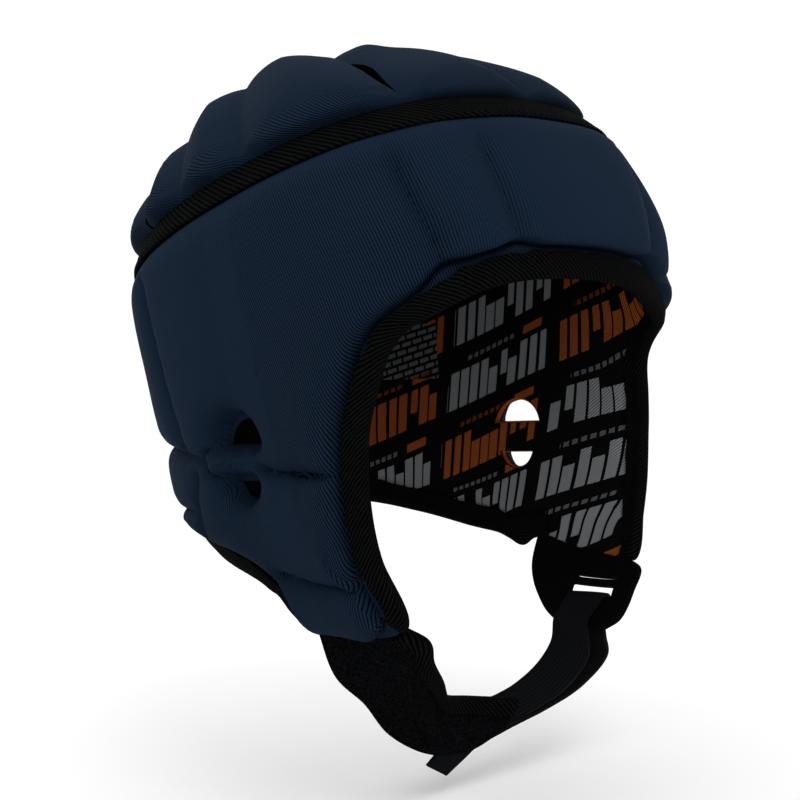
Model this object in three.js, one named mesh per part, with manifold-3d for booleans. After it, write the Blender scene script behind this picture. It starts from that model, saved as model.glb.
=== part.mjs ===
// Soft shell helmet: padded knit crown and side band, lining, tapes and a chin strap.
// Millimetres, +Z up, the face looks along -Y and the wearer's left is +X.
// Tables give heights above the ear bars and forward distances from them.
// The finished part is lowered so that its origin is the inside top of the crown.
import * as THREE from 'three';
import { mergeVertices } from 'three/addons/utils/BufferGeometryUtils.js';
import Module from 'manifold-3d';

const wasm = await Module();
wasm.setup();

// Overall form of the pads
const CROWN_TOP = 164;
const WIDEST_HEIGHT = 70;
const DOME_FULLNESS = 1.915;
const PAD_DEPTH = 13;
const LINING_GAP = 0.95;
const LINING_THICK = 1;
const SEAM_HEIGHT = 105;
const SEAM_SLOPE = 0.285;
const SEAM_GAP = 0.6;

// Relief of the padding
const TAPE_SINK = 8.5;
const EDGE_SINK = 7.5;
const TAPE_BORDER = 5.5;
const EDGE_BORDER = 10.5;
const EDGE_FLAT = 9.6;
const CROWN_RISE_REACH = 9;
const BAND_TOP_REACH = 14;
const EDGE_REACH = 10;
const EAR_RIM_SINK = 5;
const EAR_RIM_REACH = 8;

// Tapes, tabs and strap
const TAPE_HALF_WIDTH = 4;
const TAPE_THICK = 1.4;
const TAPE_GAP = 0.5;
const BINDING_WIDTH = 8;
const BINDING_THICK = 1.2;
const BINDING_GAP = 0.4;
const BINDING_TIP_GAP = 0.7;
const TAB_THICK = 2.6;
const TAB_DEPTH = 10.5;
const TAB_GAP = 0.5;
const STRAP_THICK = 1.8;
const SLOT_WIDTH = 24;
const SLOT_TURN = 56.5;
const SLOT_CUT_DEPTH = 12;
const TAB_BINDING_WIDTH = 5;
const TAB_BINDING_START = 2;

// Grid densities
const CROWN_SPOKES = 56;
const BAND_HALF_STEPS = 38;
const GROOVE_STEPS = 14;
const WALL_STEPS = 24;
const TAB_STEPS = 18;
const SLOT_TAB_STEPS = 12;
const TAB_COLUMNS = 6;
const STRAP_STEPS = 56;
const SEAM_STEPS = 24;
const EAR_CURVE_STEPS = 5;
const VENT_CURVE_STEPS = 4;

const DEG = Math.PI / 180;

// Horizontal sections of the pads below the widest ring
const sections = [
  { height: 70, halfWidth: 95, front: 110, back: 111.5, frontSquare: 2.42, backSquare: 2.36 },
  { height: 33, halfWidth: 94, front: 110, back: 103, frontSquare: 2.9, backSquare: 2.3 },
  { height: 2, halfWidth: 91, front: 110, back: 96, frontSquare: 4.6, backSquare: 2.2 },
  { height: -33, halfWidth: 86.5, front: 108, back: 78, frontSquare: 4.2, backSquare: 2.1 },
  { height: -60, halfWidth: 77.5, front: 104, back: 60, frontSquare: 3.8, backSquare: 2.05 },
  { height: -90, halfWidth: 64, front: 98, back: 45, frontSquare: 3.4, backSquare: 2 },
];
const sectionColumns = ['halfWidth', 'front', 'back', 'frontSquare', 'backSquare'];

// Lower edge of the band from nape to brow, and the wall line that runs down to each row:
// it leaves the seam at topTurn, and a bend of 1 brings it to the edge from behind.
// leftLift shortens the wearer's left jaw.
const edgeRows = [
  { topTurn: 180, turn: 180, height: -22.5, bend: 0, leftLift: 0 },
  { topTurn: 151, turn: 150, height: -26, bend: 0, leftLift: 0 },
  { topTurn: 134, turn: 130, height: -31, bend: 0, leftLift: 0 },
  { topTurn: 121, turn: 112, height: -36.5, bend: 0, leftLift: 0 },
  { topTurn: 112, turn: 98, height: -41.5, bend: 0, leftLift: 0 },
  { topTurn: 106, turn: 89, height: -46.5, bend: 0, leftLift: 0 },
  { topTurn: 101, turn: 82.5, height: -55, bend: 0, leftLift: 4 },
  { topTurn: 96, turn: 76.5, height: -63.5, bend: 0, leftLift: 11 },
  { topTurn: 90, turn: 62, height: -66, bend: 0.1, leftLift: 12.5 },
  { topTurn: 84, turn: 47.5, height: -62.5, bend: 0.5, leftLift: 11 },
  { topTurn: 79, turn: 50, height: -39, bend: 0.95, leftLift: 2 },
  { topTurn: 74, turn: 52.7, height: -17, bend: 1, leftLift: 0 },
  { topTurn: 69, turn: 53.2, height: 2, bend: 1, leftLift: 0 },
  { topTurn: 63, turn: 51.5, height: 18, bend: 1, leftLift: 0 },
  { topTurn: 55, turn: 47, height: 34.5, bend: 0.9, leftLift: 0 },
  { topTurn: 45, turn: 40, height: 46, bend: 0.7, leftLift: 0 },
  { topTurn: 33, turn: 30, height: 55, bend: 0.4, leftLift: 0 },
  { topTurn: 23, turn: 21.5, height: 59.5, bend: 0.2, leftLift: 0 },
  { topTurn: 12.5, turn: 12, height: 61.5, bend: 0, leftLift: 0 },
  { topTurn: 0, turn: 0, height: 62, bend: 0, leftLift: 0 },
];
const NECK_END_ROW = 7;
const FACE_START_ROW = 9;
const TAB_REAR_ROW = 7.3;
const TAB_FRONT_ROW = 8.75;

// Sewn channels of the band, one row each, as turn and height from end to end
const bandGrooves = [
  { sink: 4, reach: 9, path: [[26.5, 120], [24.3, 98], [22.1, 82], [19.8, 66]] },
  { sink: 4.5, reach: 9, path: [[47, 114], [41.6, 90], [38.5, 76], [35.5, 61]] },
  { sink: 4.5, reach: 9, path: [[127, 90], [119.3, 48], [113, 9], [111, 2]] },
  { sink: 4, reach: 7, path: [[107, -5], [109, -17], [107.5, -40]] },
  { sink: 4.5, reach: 8, path: [[80.5, -2.5], [76, -4], [60, -4], [53, -1]] },
  { sink: 4.5, reach: 8, path: [[102, 0], [111, 2], [130, 4.5], [180, 6]] },
  { sink: 3.5, reach: 7, path: [[112, -20], [140, -20], [180, -16]] },
  { sink: 5, reach: 8, path: [[80, -42], [70, -45], [60, -46.5], [49, -49.5]] },
];

// Channels of the crown in plan: from the tape, past a bend, to the middle line
const crownVeins = [
  { tapeX: 55, tapeForward: 63, bendX: 42, bendForward: 10, spineForward: -30 },
  { tapeX: 86, tapeForward: 8, bendX: 56, bendForward: -28, spineForward: -68 },
  { tapeX: 88, tapeForward: -28, bendX: 58, bendForward: -62, spineForward: -86 },
  { tapeX: 85, tapeForward: -58, bendX: 60, bendForward: -72, spineForward: -99 },
];
const VEIN_SINK = 5.5;
const VEIN_REACH = 12;
const SPINE_FRONT = 92;
const SPINE_BACK = -110;

// Vent slits along two of the crown channels
const vents = [
  { vein: 0, from: 0.1, to: 0.42, width: 4.5 },
  { vein: 3, from: 0.08, to: 0.26, width: 2.5 },
];
const VENT_TALL = 60;

// Ear holes: half-moon outlines with their straight sides towards the bar between them
const earHoles = [
  { forward: 0, flatHeight: 6, halfWidth: 13, rise: 11 },
  { forward: 0, flatHeight: -7, halfWidth: 9, rise: -7.5 },
];
const EAR_HOLE_INNER_X = 55;
const EAR_HOLE_OUTER_X = 120;

// Loop tab below the right jaw: its lower rear edge and its bound front edge, to the tip at the chin
const loopTabRows = [
  { rearX: -63.5, rearForward: 24.2, rearHeight: -82, frontX: -58, frontForward: 65.5, frontHeight: -66.7 },
  { rearX: -57.5, rearForward: 27.8, rearHeight: -91.8, frontX: -52, frontForward: 62.8, frontHeight: -75 },
  { rearX: -46.5, rearForward: 29, rearHeight: -105.8, frontX: -40, frontForward: 53.7, frontHeight: -83.5 },
  { rearX: -30, rearForward: 35, rearHeight: -115.4, frontX: -28, frontForward: 44, frontHeight: -92.3 },
  { rearX: -8, rearForward: 37, rearHeight: -118.7, frontX: -8, frontForward: 38.4, frontHeight: -97.9 },
  { rearX: 10, rearForward: 40, rearHeight: -113, frontX: 12, frontForward: 44.5, frontHeight: -102.6 },
];

// Inner leg of the strap, from its sewn start inside the tab up to the slot tab
const innerLegRows = [
  { rearX: -28.8, rearForward: 38.6, rearHeight: -99.5, frontX: -29.8, frontForward: 33.4, frontHeight: -112 },
  { rearX: -16.2, rearForward: 33.9, rearHeight: -99, frontX: -16.9, frontForward: 30.9, frontHeight: -115 },
  { rearX: -2, rearForward: 33.4, rearHeight: -99.5, frontX: -2, frontForward: 32.4, frontHeight: -116 },
  { rearX: 10, rearForward: 34.6, rearHeight: -98.5, frontX: 9.5, frontForward: 35.3, frontHeight: -114.5 },
  { rearX: 25, rearForward: 36.5, rearHeight: -94.8, frontX: 23.5, frontForward: 45, frontHeight: -108.5 },
  { rearX: 38, rearForward: 37, rearHeight: -89.2, frontX: 38.5, frontForward: 50.5, frontHeight: -101.5 },
  { rearX: 46.5, rearForward: 37, rearHeight: -82.8, frontX: 48, frontForward: 54.8, frontHeight: -90 },
];

// Fold of the strap over the slot's lower bar, from inside to outside
const foldRows = [
  { height: -83, depth: 14.6, rearTurn: 63.5, frontTurn: 50.5 },
  { height: -78, depth: 13.6, rearTurn: 63.5, frontTurn: 50.5 },
  { height: -75.3, depth: 13.3, rearTurn: 63.5, frontTurn: 50.5 },
  { height: -73, depth: 12.5, rearTurn: 63.5, frontTurn: 50.5 },
  { height: -72, depth: 10.5, rearTurn: 63.5, frontTurn: 50.5 },
  { height: -73, depth: 8.5, rearTurn: 63.5, frontTurn: 50.5 },
  { height: -75.3, depth: 7.7, rearTurn: 63.5, frontTurn: 50.5 },
  { height: -80, depth: 7.3, rearTurn: 63.5, frontTurn: 50 },
  { height: -86, depth: 7, rearTurn: 63, frontTurn: 49 },
];

// Outer leg of the strap, down to its free end behind the loop tab
const outerLegRows = [
  { rearX: 58.5, rearForward: 35.5, rearHeight: -92.5, frontX: 57, frontForward: 54, frontHeight: -95 },
  { rearX: 48, rearForward: 37.5, rearHeight: -99.5, frontX: 49.5, frontForward: 50.5, frontHeight: -105 },
  { rearX: 30, rearForward: 37.5, rearHeight: -100.5, frontX: 30, frontForward: 45.8, frontHeight: -113 },
  { rearX: 13, rearForward: 37.2, rearHeight: -101.5, frontX: 11.5, frontForward: 38, frontHeight: -117 },
  { rearX: -2, rearForward: 35.5, rearHeight: -105.5, frontX: -3, frontForward: 35, frontHeight: -119.5 },
  { rearX: -13, rearForward: 34.6, rearHeight: -110.5, frontX: -8, frontForward: 33.5, frontHeight: -122.5 },
  { rearX: -24, rearForward: 31.5, rearHeight: -120.5, frontX: -14, frontForward: 32, frontHeight: -126 },
];

// Slot tab below the left jaw: turns of its rear and front edges at each height
const slotTabRows = [
  { height: -60, depth: TAB_DEPTH, rearTurn: 76, frontTurn: 44.5 },
  { height: -68, depth: TAB_DEPTH, rearTurn: 75.5, frontTurn: 43 },
  { height: -75, depth: TAB_DEPTH, rearTurn: 73, frontTurn: 42.5 },
  { height: -80, depth: TAB_DEPTH, rearTurn: 69.5, frontTurn: 44 },
  { height: -84, depth: TAB_DEPTH, rearTurn: 64, frontTurn: 48 },
];
const slots = [
  { height: -71.4, tall: 6.2 },
  { height: -65.6, tall: 1.6 },
];

const HEAD_TOP = CROWN_TOP - PAD_DEPTH;
const DOME_RISE = CROWN_TOP - WIDEST_HEIGHT;
const APEX_LEVEL = DOME_RISE * Math.PI / 2;
const LINING_FACE = PAD_DEPTH + LINING_GAP;
const LINING_BACK = LINING_FACE + LINING_THICK;

// One smooth step through a table of rows, with flat tangents at its first row
function blendRows(rows, key, column, at) {
  const last = rows.length - 2;
  let i = 0;
  while (i < last && (at - rows[i + 1][key]) * Math.sign(rows[i + 1][key] - rows[i][key]) > 0) i += 1;
  const tangent = (j) => {
    if (j === 0) return 0;
    const a = rows[j - 1];
    const b = rows[Math.min(j + 1, rows.length - 1)];
    return (b[column] - a[column]) / (b[key] - a[key]);
  };
  const h = rows[i + 1][key] - rows[i][key];
  const t = THREE.MathUtils.clamp((at - rows[i][key]) / h, 0, 1);
  const s = t * t;
  const c = s * t;
  return (2 * c - 3 * s + 1) * rows[i][column] + (c - 2 * s + t) * h * tangent(i)
    + (3 * s - 2 * c) * rows[i + 1][column] + (c - s) * h * tangent(i + 1);
}

// A point of the pad surface: turn from the face, level along the wall from the widest ring
function formPoint(turn, level) {
  const inDome = level > 0;
  const rise = THREE.MathUtils.clamp(level / DOME_RISE, 0, Math.PI / 2);
  const shrink = inDome ? Math.cos(rise) ** (2 / DOME_FULLNESS) : 1;
  const lift = inDome ? DOME_RISE * Math.sin(rise) ** (2 / DOME_FULLNESS) : level;
  const height = WIDEST_HEIGHT + lift;
  const row = {};
  for (const column of sectionColumns) {
    row[column] = blendRows(sections, 'height', column, Math.min(height, WIDEST_HEIGHT));
  }
  const forward = Math.cos(turn);
  const across = Math.abs(Math.sin(turn));
  const long = forward >= 0 ? row.front : row.back;
  const square = forward >= 0 ? row.frontSquare : row.backSquare;
  const sum = (across / row.halfWidth) ** square + (Math.abs(forward) / long) ** square;
  const radius = shrink / sum ** (1 / square);
  return new THREE.Vector3(radius * Math.sin(turn), -radius * forward, height);
}

function formNormal(turn, level) {
  const step = 0.5;
  const below = Math.min(level, APEX_LEVEL - 2 * step);
  const along = formPoint(turn + 0.01, below).sub(formPoint(turn - 0.01, below));
  const up = formPoint(turn, below + step).sub(formPoint(turn, below - step));
  return along.cross(up).normalize();
}

function insetPoint(turn, level, depth) {
  return formPoint(turn, level).addScaledVector(formNormal(turn, level), -depth);
}

function levelOfHeight(height) {
  if (height <= WIDEST_HEIGHT) return height - WIDEST_HEIGHT;
  const ratio = Math.min((height - WIDEST_HEIGHT) / DOME_RISE, 1);
  return DOME_RISE * Math.asin(ratio ** (DOME_FULLNESS / 2));
}

// Level of the crown seam, a sloping plane through the sunk border under the tape
function seamLevel(turn, lift) {
  let low = -30;
  let high = APEX_LEVEL * 0.9;
  for (let i = 0; i < 40; i += 1) {
    const middle = (low + high) / 2;
    const p = insetPoint(turn, middle, TAPE_SINK);
    if (p.z + SEAM_SLOPE * p.y < SEAM_HEIGHT + lift) low = middle;
    else high = middle;
  }
  return low;
}

// Plan position to turn and level on the dome
function planToDome(x, forward) {
  const turn = Math.atan2(x, forward);
  const rim = formPoint(turn, 0);
  const ratio = Math.min(Math.hypot(x, forward) / Math.hypot(rim.x, rim.y), 1);
  return { turn, level: DOME_RISE * Math.acos(ratio ** (DOME_FULLNESS / 2)) };
}

// Distance from a point to a polyline
const nearest = new THREE.Vector3();
function distanceTo(point, line) {
  let best = Infinity;
  for (let i = 0; i + 1 < line.length; i += 1) {
    const segment = new THREE.Line3(line[i], line[i + 1]);
    segment.closestPointToPoint(point, true, nearest);
    best = Math.min(best, nearest.distanceTo(point));
  }
  return best;
}

// Share of a channel's sink at a distance: full in the crease, none on the round of the pad
function crease(distance, reach) {
  const t = THREE.MathUtils.clamp(1 - distance / reach, 0, 1);
  return 1 - Math.sqrt(1 - t * t);
}

function pathOnForm(path, side) {
  const flat = new THREE.SplineCurve(path.map(([turn, height]) => new THREE.Vector2(turn, height)));
  return flat.getPoints(GROOVE_STEPS).map((p) => formPoint(side * p.x * DEG, levelOfHeight(p.y)));
}

function veinCurve(vein, side) {
  return new THREE.QuadraticBezierCurve(
    new THREE.Vector2(side * vein.tapeX, vein.tapeForward),
    new THREE.Vector2(side * vein.bendX, vein.bendForward),
    new THREE.Vector2(0, vein.spineForward),
  );
}

function domePath(points) {
  return points.map((p) => {
    const { turn, level } = planToDome(p.x, p.y);
    return formPoint(turn, level);
  });
}

const sides = [-1, 1];
const spine = new THREE.LineCurve(new THREE.Vector2(0, SPINE_FRONT), new THREE.Vector2(0, SPINE_BACK));
const crownLines = [domePath(spine.getPoints(GROOVE_STEPS * 2))];
for (const vein of crownVeins) {
  for (const side of sides) crownLines.push(domePath(veinCurve(vein, side).getPoints(GROOVE_STEPS)));
}
const bandLines = [];
for (const groove of bandGrooves) {
  for (const side of sides) bandLines.push({ ...groove, line: pathOnForm(groove.path, side) });
}

// Half-moon outline of an ear hole, in forward and height
function earShape(hole) {
  const shape = new THREE.Shape();
  shape.moveTo(hole.forward - hole.halfWidth, hole.flatHeight);
  shape.lineTo(hole.forward + hole.halfWidth, hole.flatHeight);
  shape.bezierCurveTo(
    hole.forward + hole.halfWidth, hole.flatHeight + hole.rise,
    hole.forward + hole.halfWidth / 2, hole.flatHeight + hole.rise,
    hole.forward, hole.flatHeight + hole.rise,
  );
  shape.bezierCurveTo(
    hole.forward - hole.halfWidth / 2, hole.flatHeight + hole.rise,
    hole.forward - hole.halfWidth, hole.flatHeight + hole.rise,
    hole.forward - hole.halfWidth, hole.flatHeight,
  );
  return shape;
}
const earRims = [];
for (const hole of earHoles) {
  for (const side of sides) {
    const rim = earShape(hole).getPoints(EAR_CURVE_STEPS);
    earRims.push([...rim, rim[0]].map((p) => {
      const bare = formPoint(side * Math.PI / 2, levelOfHeight(p.y));
      const turn = side * Math.atan2(Math.abs(bare.x), p.x);
      return formPoint(turn, levelOfHeight(p.y));
    }));
  }
}

// Seam lines that the crown and the band rise from
const seamLine = [];
for (let i = 0; i <= SEAM_STEPS * 2; i += 1) {
  const turn = Math.PI * (i / SEAM_STEPS - 1);
  seamLine.push(formPoint(turn, seamLevel(turn, 0)));
}

// Wall lines of the band from nape to nape, as turns and levels with the length run so far
const edgeCurves = new THREE.CatmullRomCurve3(
  edgeRows.map((row) => new THREE.Vector3(row.topTurn, row.turn, row.height)), false, 'catmullrom', 0.5,
);
const bendCurve = new THREE.SplineCurve(edgeRows.map((row) => new THREE.Vector2(row.bend, row.leftLift)));
function wallLine(step, side) {
  const t = step / BAND_HALF_STEPS;
  const { x: topTurn, y: edgeTurn, z: edgeHeight } = edgeCurves.getPoint(t);
  const { x: bend, y: leftLift } = bendCurve.getPoint(t);
  const start = new THREE.Vector2(side * topTurn * DEG, seamLevel(side * topTurn * DEG, -SEAM_GAP / 2));
  const end = new THREE.Vector2(side * edgeTurn * DEG, levelOfHeight(edgeHeight + (side > 0 ? leftLift : 0)));
  const straight = start.clone().lerp(end, 0.5);
  const corner = new THREE.Vector2(start.x, end.y);
  const curve = new THREE.QuadraticBezierCurve(start, straight.lerp(corner, bend), end);
  const charts = curve.getPoints(WALL_STEPS);
  const run = [0];
  for (let i = 1; i <= WALL_STEPS; i += 1) {
    const a = formPoint(charts[i - 1].x, charts[i - 1].y);
    run.push(run[i - 1] + a.distanceTo(formPoint(charts[i].x, charts[i].y)));
  }
  return { charts, run, length: run[WALL_STEPS], row: t * (edgeRows.length - 1) };
}
const walls = [];
for (let i = 0; i < BAND_HALF_STEPS; i += 1) walls.push(wallLine(i, -1));
for (let i = BAND_HALF_STEPS; i > 0; i -= 1) walls.push(wallLine(i, 1));

// Turn and level at a run along a wall line, also a little past its ends
function alongWall(wall, run) {
  let i = 1;
  while (i < WALL_STEPS && wall.run[i] < run) i += 1;
  const share = (run - wall.run[i - 1]) / (wall.run[i] - wall.run[i - 1]);
  const chart = wall.charts[i - 1].clone().lerp(wall.charts[i], share);
  return { turn: chart.x, level: chart.y };
}
function wallPoint(wall, run, depth) {
  const { turn, level } = alongWall(wall, run);
  return insetPoint(turn, level, depth);
}
const edgeLine = walls.map((wall) => wallPoint(wall, wall.length, 0));
edgeLine.push(edgeLine[0]);

// How far the band's face lies below the pad surface
function bandSink(point) {
  let sink = TAPE_SINK * crease(distanceTo(point, seamLine) - TAPE_BORDER, BAND_TOP_REACH);
  sink = Math.max(sink, EDGE_SINK * crease(distanceTo(point, edgeLine) - EDGE_BORDER, EDGE_REACH));
  for (const groove of bandLines) {
    sink = Math.max(sink, groove.sink * crease(distanceTo(point, groove.line), groove.reach));
  }
  for (const rim of earRims) {
    sink = Math.max(sink, EAR_RIM_SINK * crease(distanceTo(point, rim), EAR_RIM_REACH));
  }
  return sink;
}
function crownSink(point) {
  let sink = TAPE_SINK * crease(distanceTo(point, seamLine) - TAPE_BORDER, CROWN_RISE_REACH);
  for (const line of crownLines) {
    sink = Math.max(sink, VEIN_SINK * crease(distanceTo(point, line), VEIN_REACH));
  }
  return sink;
}

// Closed mesh from points and triangles
function closedMesh(points, index) {
  const geometry = new THREE.BufferGeometry();
  geometry.setAttribute('position', new THREE.Float32BufferAttribute(points.flatMap((p) => p.toArray()), 3));
  geometry.setIndex(index);
  return faceOut(geometry);
}

// Strips between rings of equal length that run round the head
function ringStrips(index, count, from, to) {
  for (let i = 0; i < count; i += 1) {
    const j = (i + 1) % count;
    index.push(from + i, to + i, to + j, from + i, to + j, from + j);
  }
}

// Wall round the head: the section at each station is a closed loop
function ringWall(stations) {
  const count = stations.length;
  const depth = stations[0].length;
  const index = [];
  for (let r = 0; r < depth; r += 1) ringStrips(index, count, r * count, ((r + 1) % depth) * count);
  const points = [];
  for (let r = 0; r < depth; r += 1) for (const station of stations) points.push(station[r]);
  return closedMesh(points, index);
}

// Cap: each station runs from the outer top down to the rim and back up inside
function ringCap(stations, outerTop, innerTop) {
  const count = stations.length;
  const depth = stations[0].length;
  const index = [];
  for (let r = 0; r + 1 < depth; r += 1) ringStrips(index, count, r * count, (r + 1) * count);
  const points = [];
  for (let r = 0; r < depth; r += 1) for (const station of stations) points.push(station[r]);
  const outerTip = points.push(outerTop) - 1;
  const innerTip = points.push(innerTop) - 1;
  const innerRing = (depth - 1) * count;
  for (let i = 0; i < count; i += 1) {
    const j = (i + 1) % count;
    index.push(outerTip, i, j, innerTip, innerRing + j, innerRing + i);
  }
  return closedMesh(points, index);
}

// Strip of sections with flat ends; a section lists one face forwards and the other backwards
function sectionStrip(stations) {
  const count = stations[0].length;
  const index = [];
  for (let r = 0; r + 1 < stations.length; r += 1) {
    const a = r * count;
    const b = a + count;
    for (let i = 0; i < count; i += 1) {
      const j = (i + 1) % count;
      index.push(a + i, a + j, b + j, a + i, b + j, b + i);
    }
  }
  const last = (stations.length - 1) * count;
  for (let i = 0; i + 1 < count / 2; i += 1) {
    const j = count - 1 - i;
    index.push(i, j, j - 1, i, j - 1, i + 1);
    index.push(last + i, last + j - 1, last + j, last + i, last + i + 1, last + j - 1);
  }
  return closedMesh(stations.flat(), index);
}

// Turns a closed mesh so that its faces point outwards
function faceOut(geometry) {
  const position = geometry.getAttribute('position');
  const index = geometry.getIndex().array;
  const [a, b, c] = [new THREE.Vector3(), new THREE.Vector3(), new THREE.Vector3()];
  let volume = 0;
  for (let i = 0; i < index.length; i += 3) {
    a.fromBufferAttribute(position, index[i]);
    b.fromBufferAttribute(position, index[i + 1]);
    c.fromBufferAttribute(position, index[i + 2]);
    volume += a.dot(b.cross(c));
  }
  if (volume < 0) {
    for (let i = 0; i < index.length; i += 3) [index[i], index[i + 1]] = [index[i + 1], index[i]];
  }
  geometry.computeVertexNormals();
  return geometry;
}

function toSolid(geometry) {
  const bare = geometry.clone();
  bare.deleteAttribute('normal');
  bare.deleteAttribute('uv');
  const merged = mergeVertices(bare, 1e-4);
  return new wasm.Manifold(new wasm.Mesh({
    numProp: 3,
    vertProperties: new Float32Array(merged.getAttribute('position').array),
    triVerts: new Uint32Array(merged.getIndex().array),
  }));
}

function cutBy(geometry, cutters) {
  let solid = toSolid(geometry);
  for (const cutter of cutters) solid = solid.subtract(toSolid(cutter));
  const mesh = solid.getMesh();
  const cut = new THREE.BufferGeometry();
  cut.setAttribute('position', new THREE.Float32BufferAttribute(mesh.vertProperties, 3));
  cut.setIndex(Array.from(mesh.triVerts));
  cut.computeVertexNormals();
  return cut;
}

function earCutters() {
  const cutters = [];
  for (const hole of earHoles) {
    for (const side of sides) {
      const depth = EAR_HOLE_OUTER_X - EAR_HOLE_INNER_X;
      const options = { depth, bevelEnabled: false, curveSegments: EAR_CURVE_STEPS };
      const geometry = new THREE.ExtrudeGeometry(earShape(hole), options);
      const along = new THREE.Vector3(0, -1, 0);
      const up = new THREE.Vector3(0, 0, 1);
      geometry.applyMatrix4(new THREE.Matrix4().makeBasis(along, up, along.clone().cross(up)));
      geometry.translate(side > 0 ? EAR_HOLE_OUTER_X : -EAR_HOLE_INNER_X, 0, 0);
      cutters.push(geometry);
    }
  }
  return cutters;
}

// Lens-shaped cutter through the crown along a stretch of a channel
function ventCutter(vent, side) {
  const curve = veinCurve(crownVeins[vent.vein], side);
  const [start, end] = domePath([curve.getPoint(vent.from), curve.getPoint(vent.to)]);
  const middle = curve.getPoint((vent.from + vent.to) / 2);
  const { turn, level } = planToDome(middle.x, middle.y);
  const out = formNormal(turn, level);
  const along = end.clone().sub(start);
  const half = along.length() / 2;
  along.normalize();
  const across = out.clone().cross(along).normalize();
  const lens = new THREE.Shape();
  lens.moveTo(-half, 0);
  lens.quadraticCurveTo(0, -vent.width, half, 0);
  lens.quadraticCurveTo(0, vent.width, -half, 0);
  const options = { depth: VENT_TALL, bevelEnabled: false, curveSegments: VENT_CURVE_STEPS };
  const geometry = new THREE.ExtrudeGeometry(lens, options);
  geometry.translate(0, 0, -VENT_TALL / 2);
  const basis = new THREE.Matrix4().makeBasis(along, across, along.clone().cross(across));
  geometry.applyMatrix4(basis);
  const centre = formPoint(turn, level);
  geometry.translate(centre.x, centre.y, centre.z);
  return geometry;
}

// Crown: outer rows from the top to the seam, then inner rows back up to the top
const crownTopShares = [0.12, 0.25, 0.38, 0.51, 0.64, 0.77, 0.89];
const crownSeamOffsets = [22, 14, 9.5, 6.8, 4.2, 0];
const crownInnerShares = [1, 0.75, 0.5, 0.25];
function crownGeometry() {
  const face = (turn, level) => insetPoint(turn, level, crownSink(formPoint(turn, level)));
  const under = (turn, level) => insetPoint(turn, level, PAD_DEPTH);
  const stations = [];
  for (let i = 0; i < CROWN_SPOKES; i += 1) {
    const turn = 2 * Math.PI * i / CROWN_SPOKES;
    const base = seamLevel(turn, SEAM_GAP / 2);
    const shoulder = base + crownSeamOffsets[0];
    stations.push([
      ...crownTopShares.map((share) => face(turn, THREE.MathUtils.lerp(APEX_LEVEL, shoulder, share))),
      ...crownSeamOffsets.map((offset) => face(turn, base + offset)),
      ...crownInnerShares.map((share) => under(turn, THREE.MathUtils.lerp(APEX_LEVEL, base, share))),
    ]);
  }
  const top = new THREE.Vector3(0, 0, CROWN_TOP - crownSink(formPoint(0, APEX_LEVEL)));
  const cap = ringCap(stations, top, new THREE.Vector3(0, 0, HEAD_TOP));
  const cutters = [];
  for (const vent of vents) for (const side of sides) cutters.push(ventCutter(vent, side));
  return cutBy(cap, cutters);
}

// Runs along a wall line for the outer rows and the inner rows
const bandTopRuns = [0, 4.5, 7, 10.5, 16];
const bandMiddleShares = [0.2, 0.4, 0.6, 0.8];
const bandEdgeRuns = [24, 17, 13.5, EDGE_FLAT, 0];
const bandInnerShares = [0.74, 0.5, 0.25, 0];
function outerRuns(wall) {
  const first = bandTopRuns.at(-1);
  const last = wall.length - bandEdgeRuns[0];
  return [
    ...bandTopRuns,
    ...bandMiddleShares.map((share) => THREE.MathUtils.lerp(first, last, share)),
    ...bandEdgeRuns.map((run) => wall.length - run),
  ];
}
function innerRuns(wall) {
  return [wall.length, wall.length - EDGE_FLAT, ...bandInnerShares.map((share) => share * wall.length)];
}

function bandGeometry() {
  const stations = walls.map((wall) => [
    ...outerRuns(wall).map((run) => wallPoint(wall, run, bandSink(wallPoint(wall, run, 0)))),
    ...innerRuns(wall).map((run) => wallPoint(wall, run, PAD_DEPTH)),
  ]);
  return cutBy(ringWall(stations), earCutters());
}

function liningGeometry() {
  const stations = walls.map((wall) => {
    const runs = innerRuns(wall);
    return [
      ...runs.map((run) => wallPoint(wall, run, LINING_FACE)),
      ...runs.reverse().map((run) => wallPoint(wall, run, LINING_BACK)),
    ];
  });
  return cutBy(ringWall(stations), earCutters());
}

// Flat tape over the seam, lying on the sunk borders of crown and band
function tapeGeometry() {
  const spans = [-TAPE_HALF_WIDTH, 0, TAPE_HALF_WIDTH];
  const under = TAPE_SINK - TAPE_GAP;
  const stations = [];
  for (let i = 0; i < CROWN_SPOKES; i += 1) {
    const turn = 2 * Math.PI * i / CROWN_SPOKES;
    const base = seamLevel(turn, 0);
    stations.push([
      ...spans.map((span) => insetPoint(turn, base + span, under - TAPE_THICK)),
      ...spans.map((span) => insetPoint(turn, base - span, under)),
    ]);
  }
  return ringWall(stations);
}

// Folded binding: a channel round the band's edge, over its face and under its lining
function bindingGeometry(edgeWalls) {
  const face = EDGE_SINK - BINDING_GAP;
  const back = LINING_BACK + BINDING_TIP_GAP;
  const tip = BINDING_TIP_GAP;
  const end = tip + BINDING_THICK;
  const stations = [...edgeWalls].reverse().map((wall) => {
    const at = (past, depth) => wallPoint(wall, wall.length + past, depth);
    return [
      at(-BINDING_WIDTH, face - BINDING_THICK),
      at(end, face - BINDING_THICK),
      at(end, back + BINDING_THICK),
      at(-BINDING_WIDTH, back + BINDING_THICK),
      at(-BINDING_WIDTH, back),
      at(tip, back),
      at(tip, face),
      at(-BINDING_WIDTH, face),
    ];
  });
  return sectionStrip(stations);
}

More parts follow.
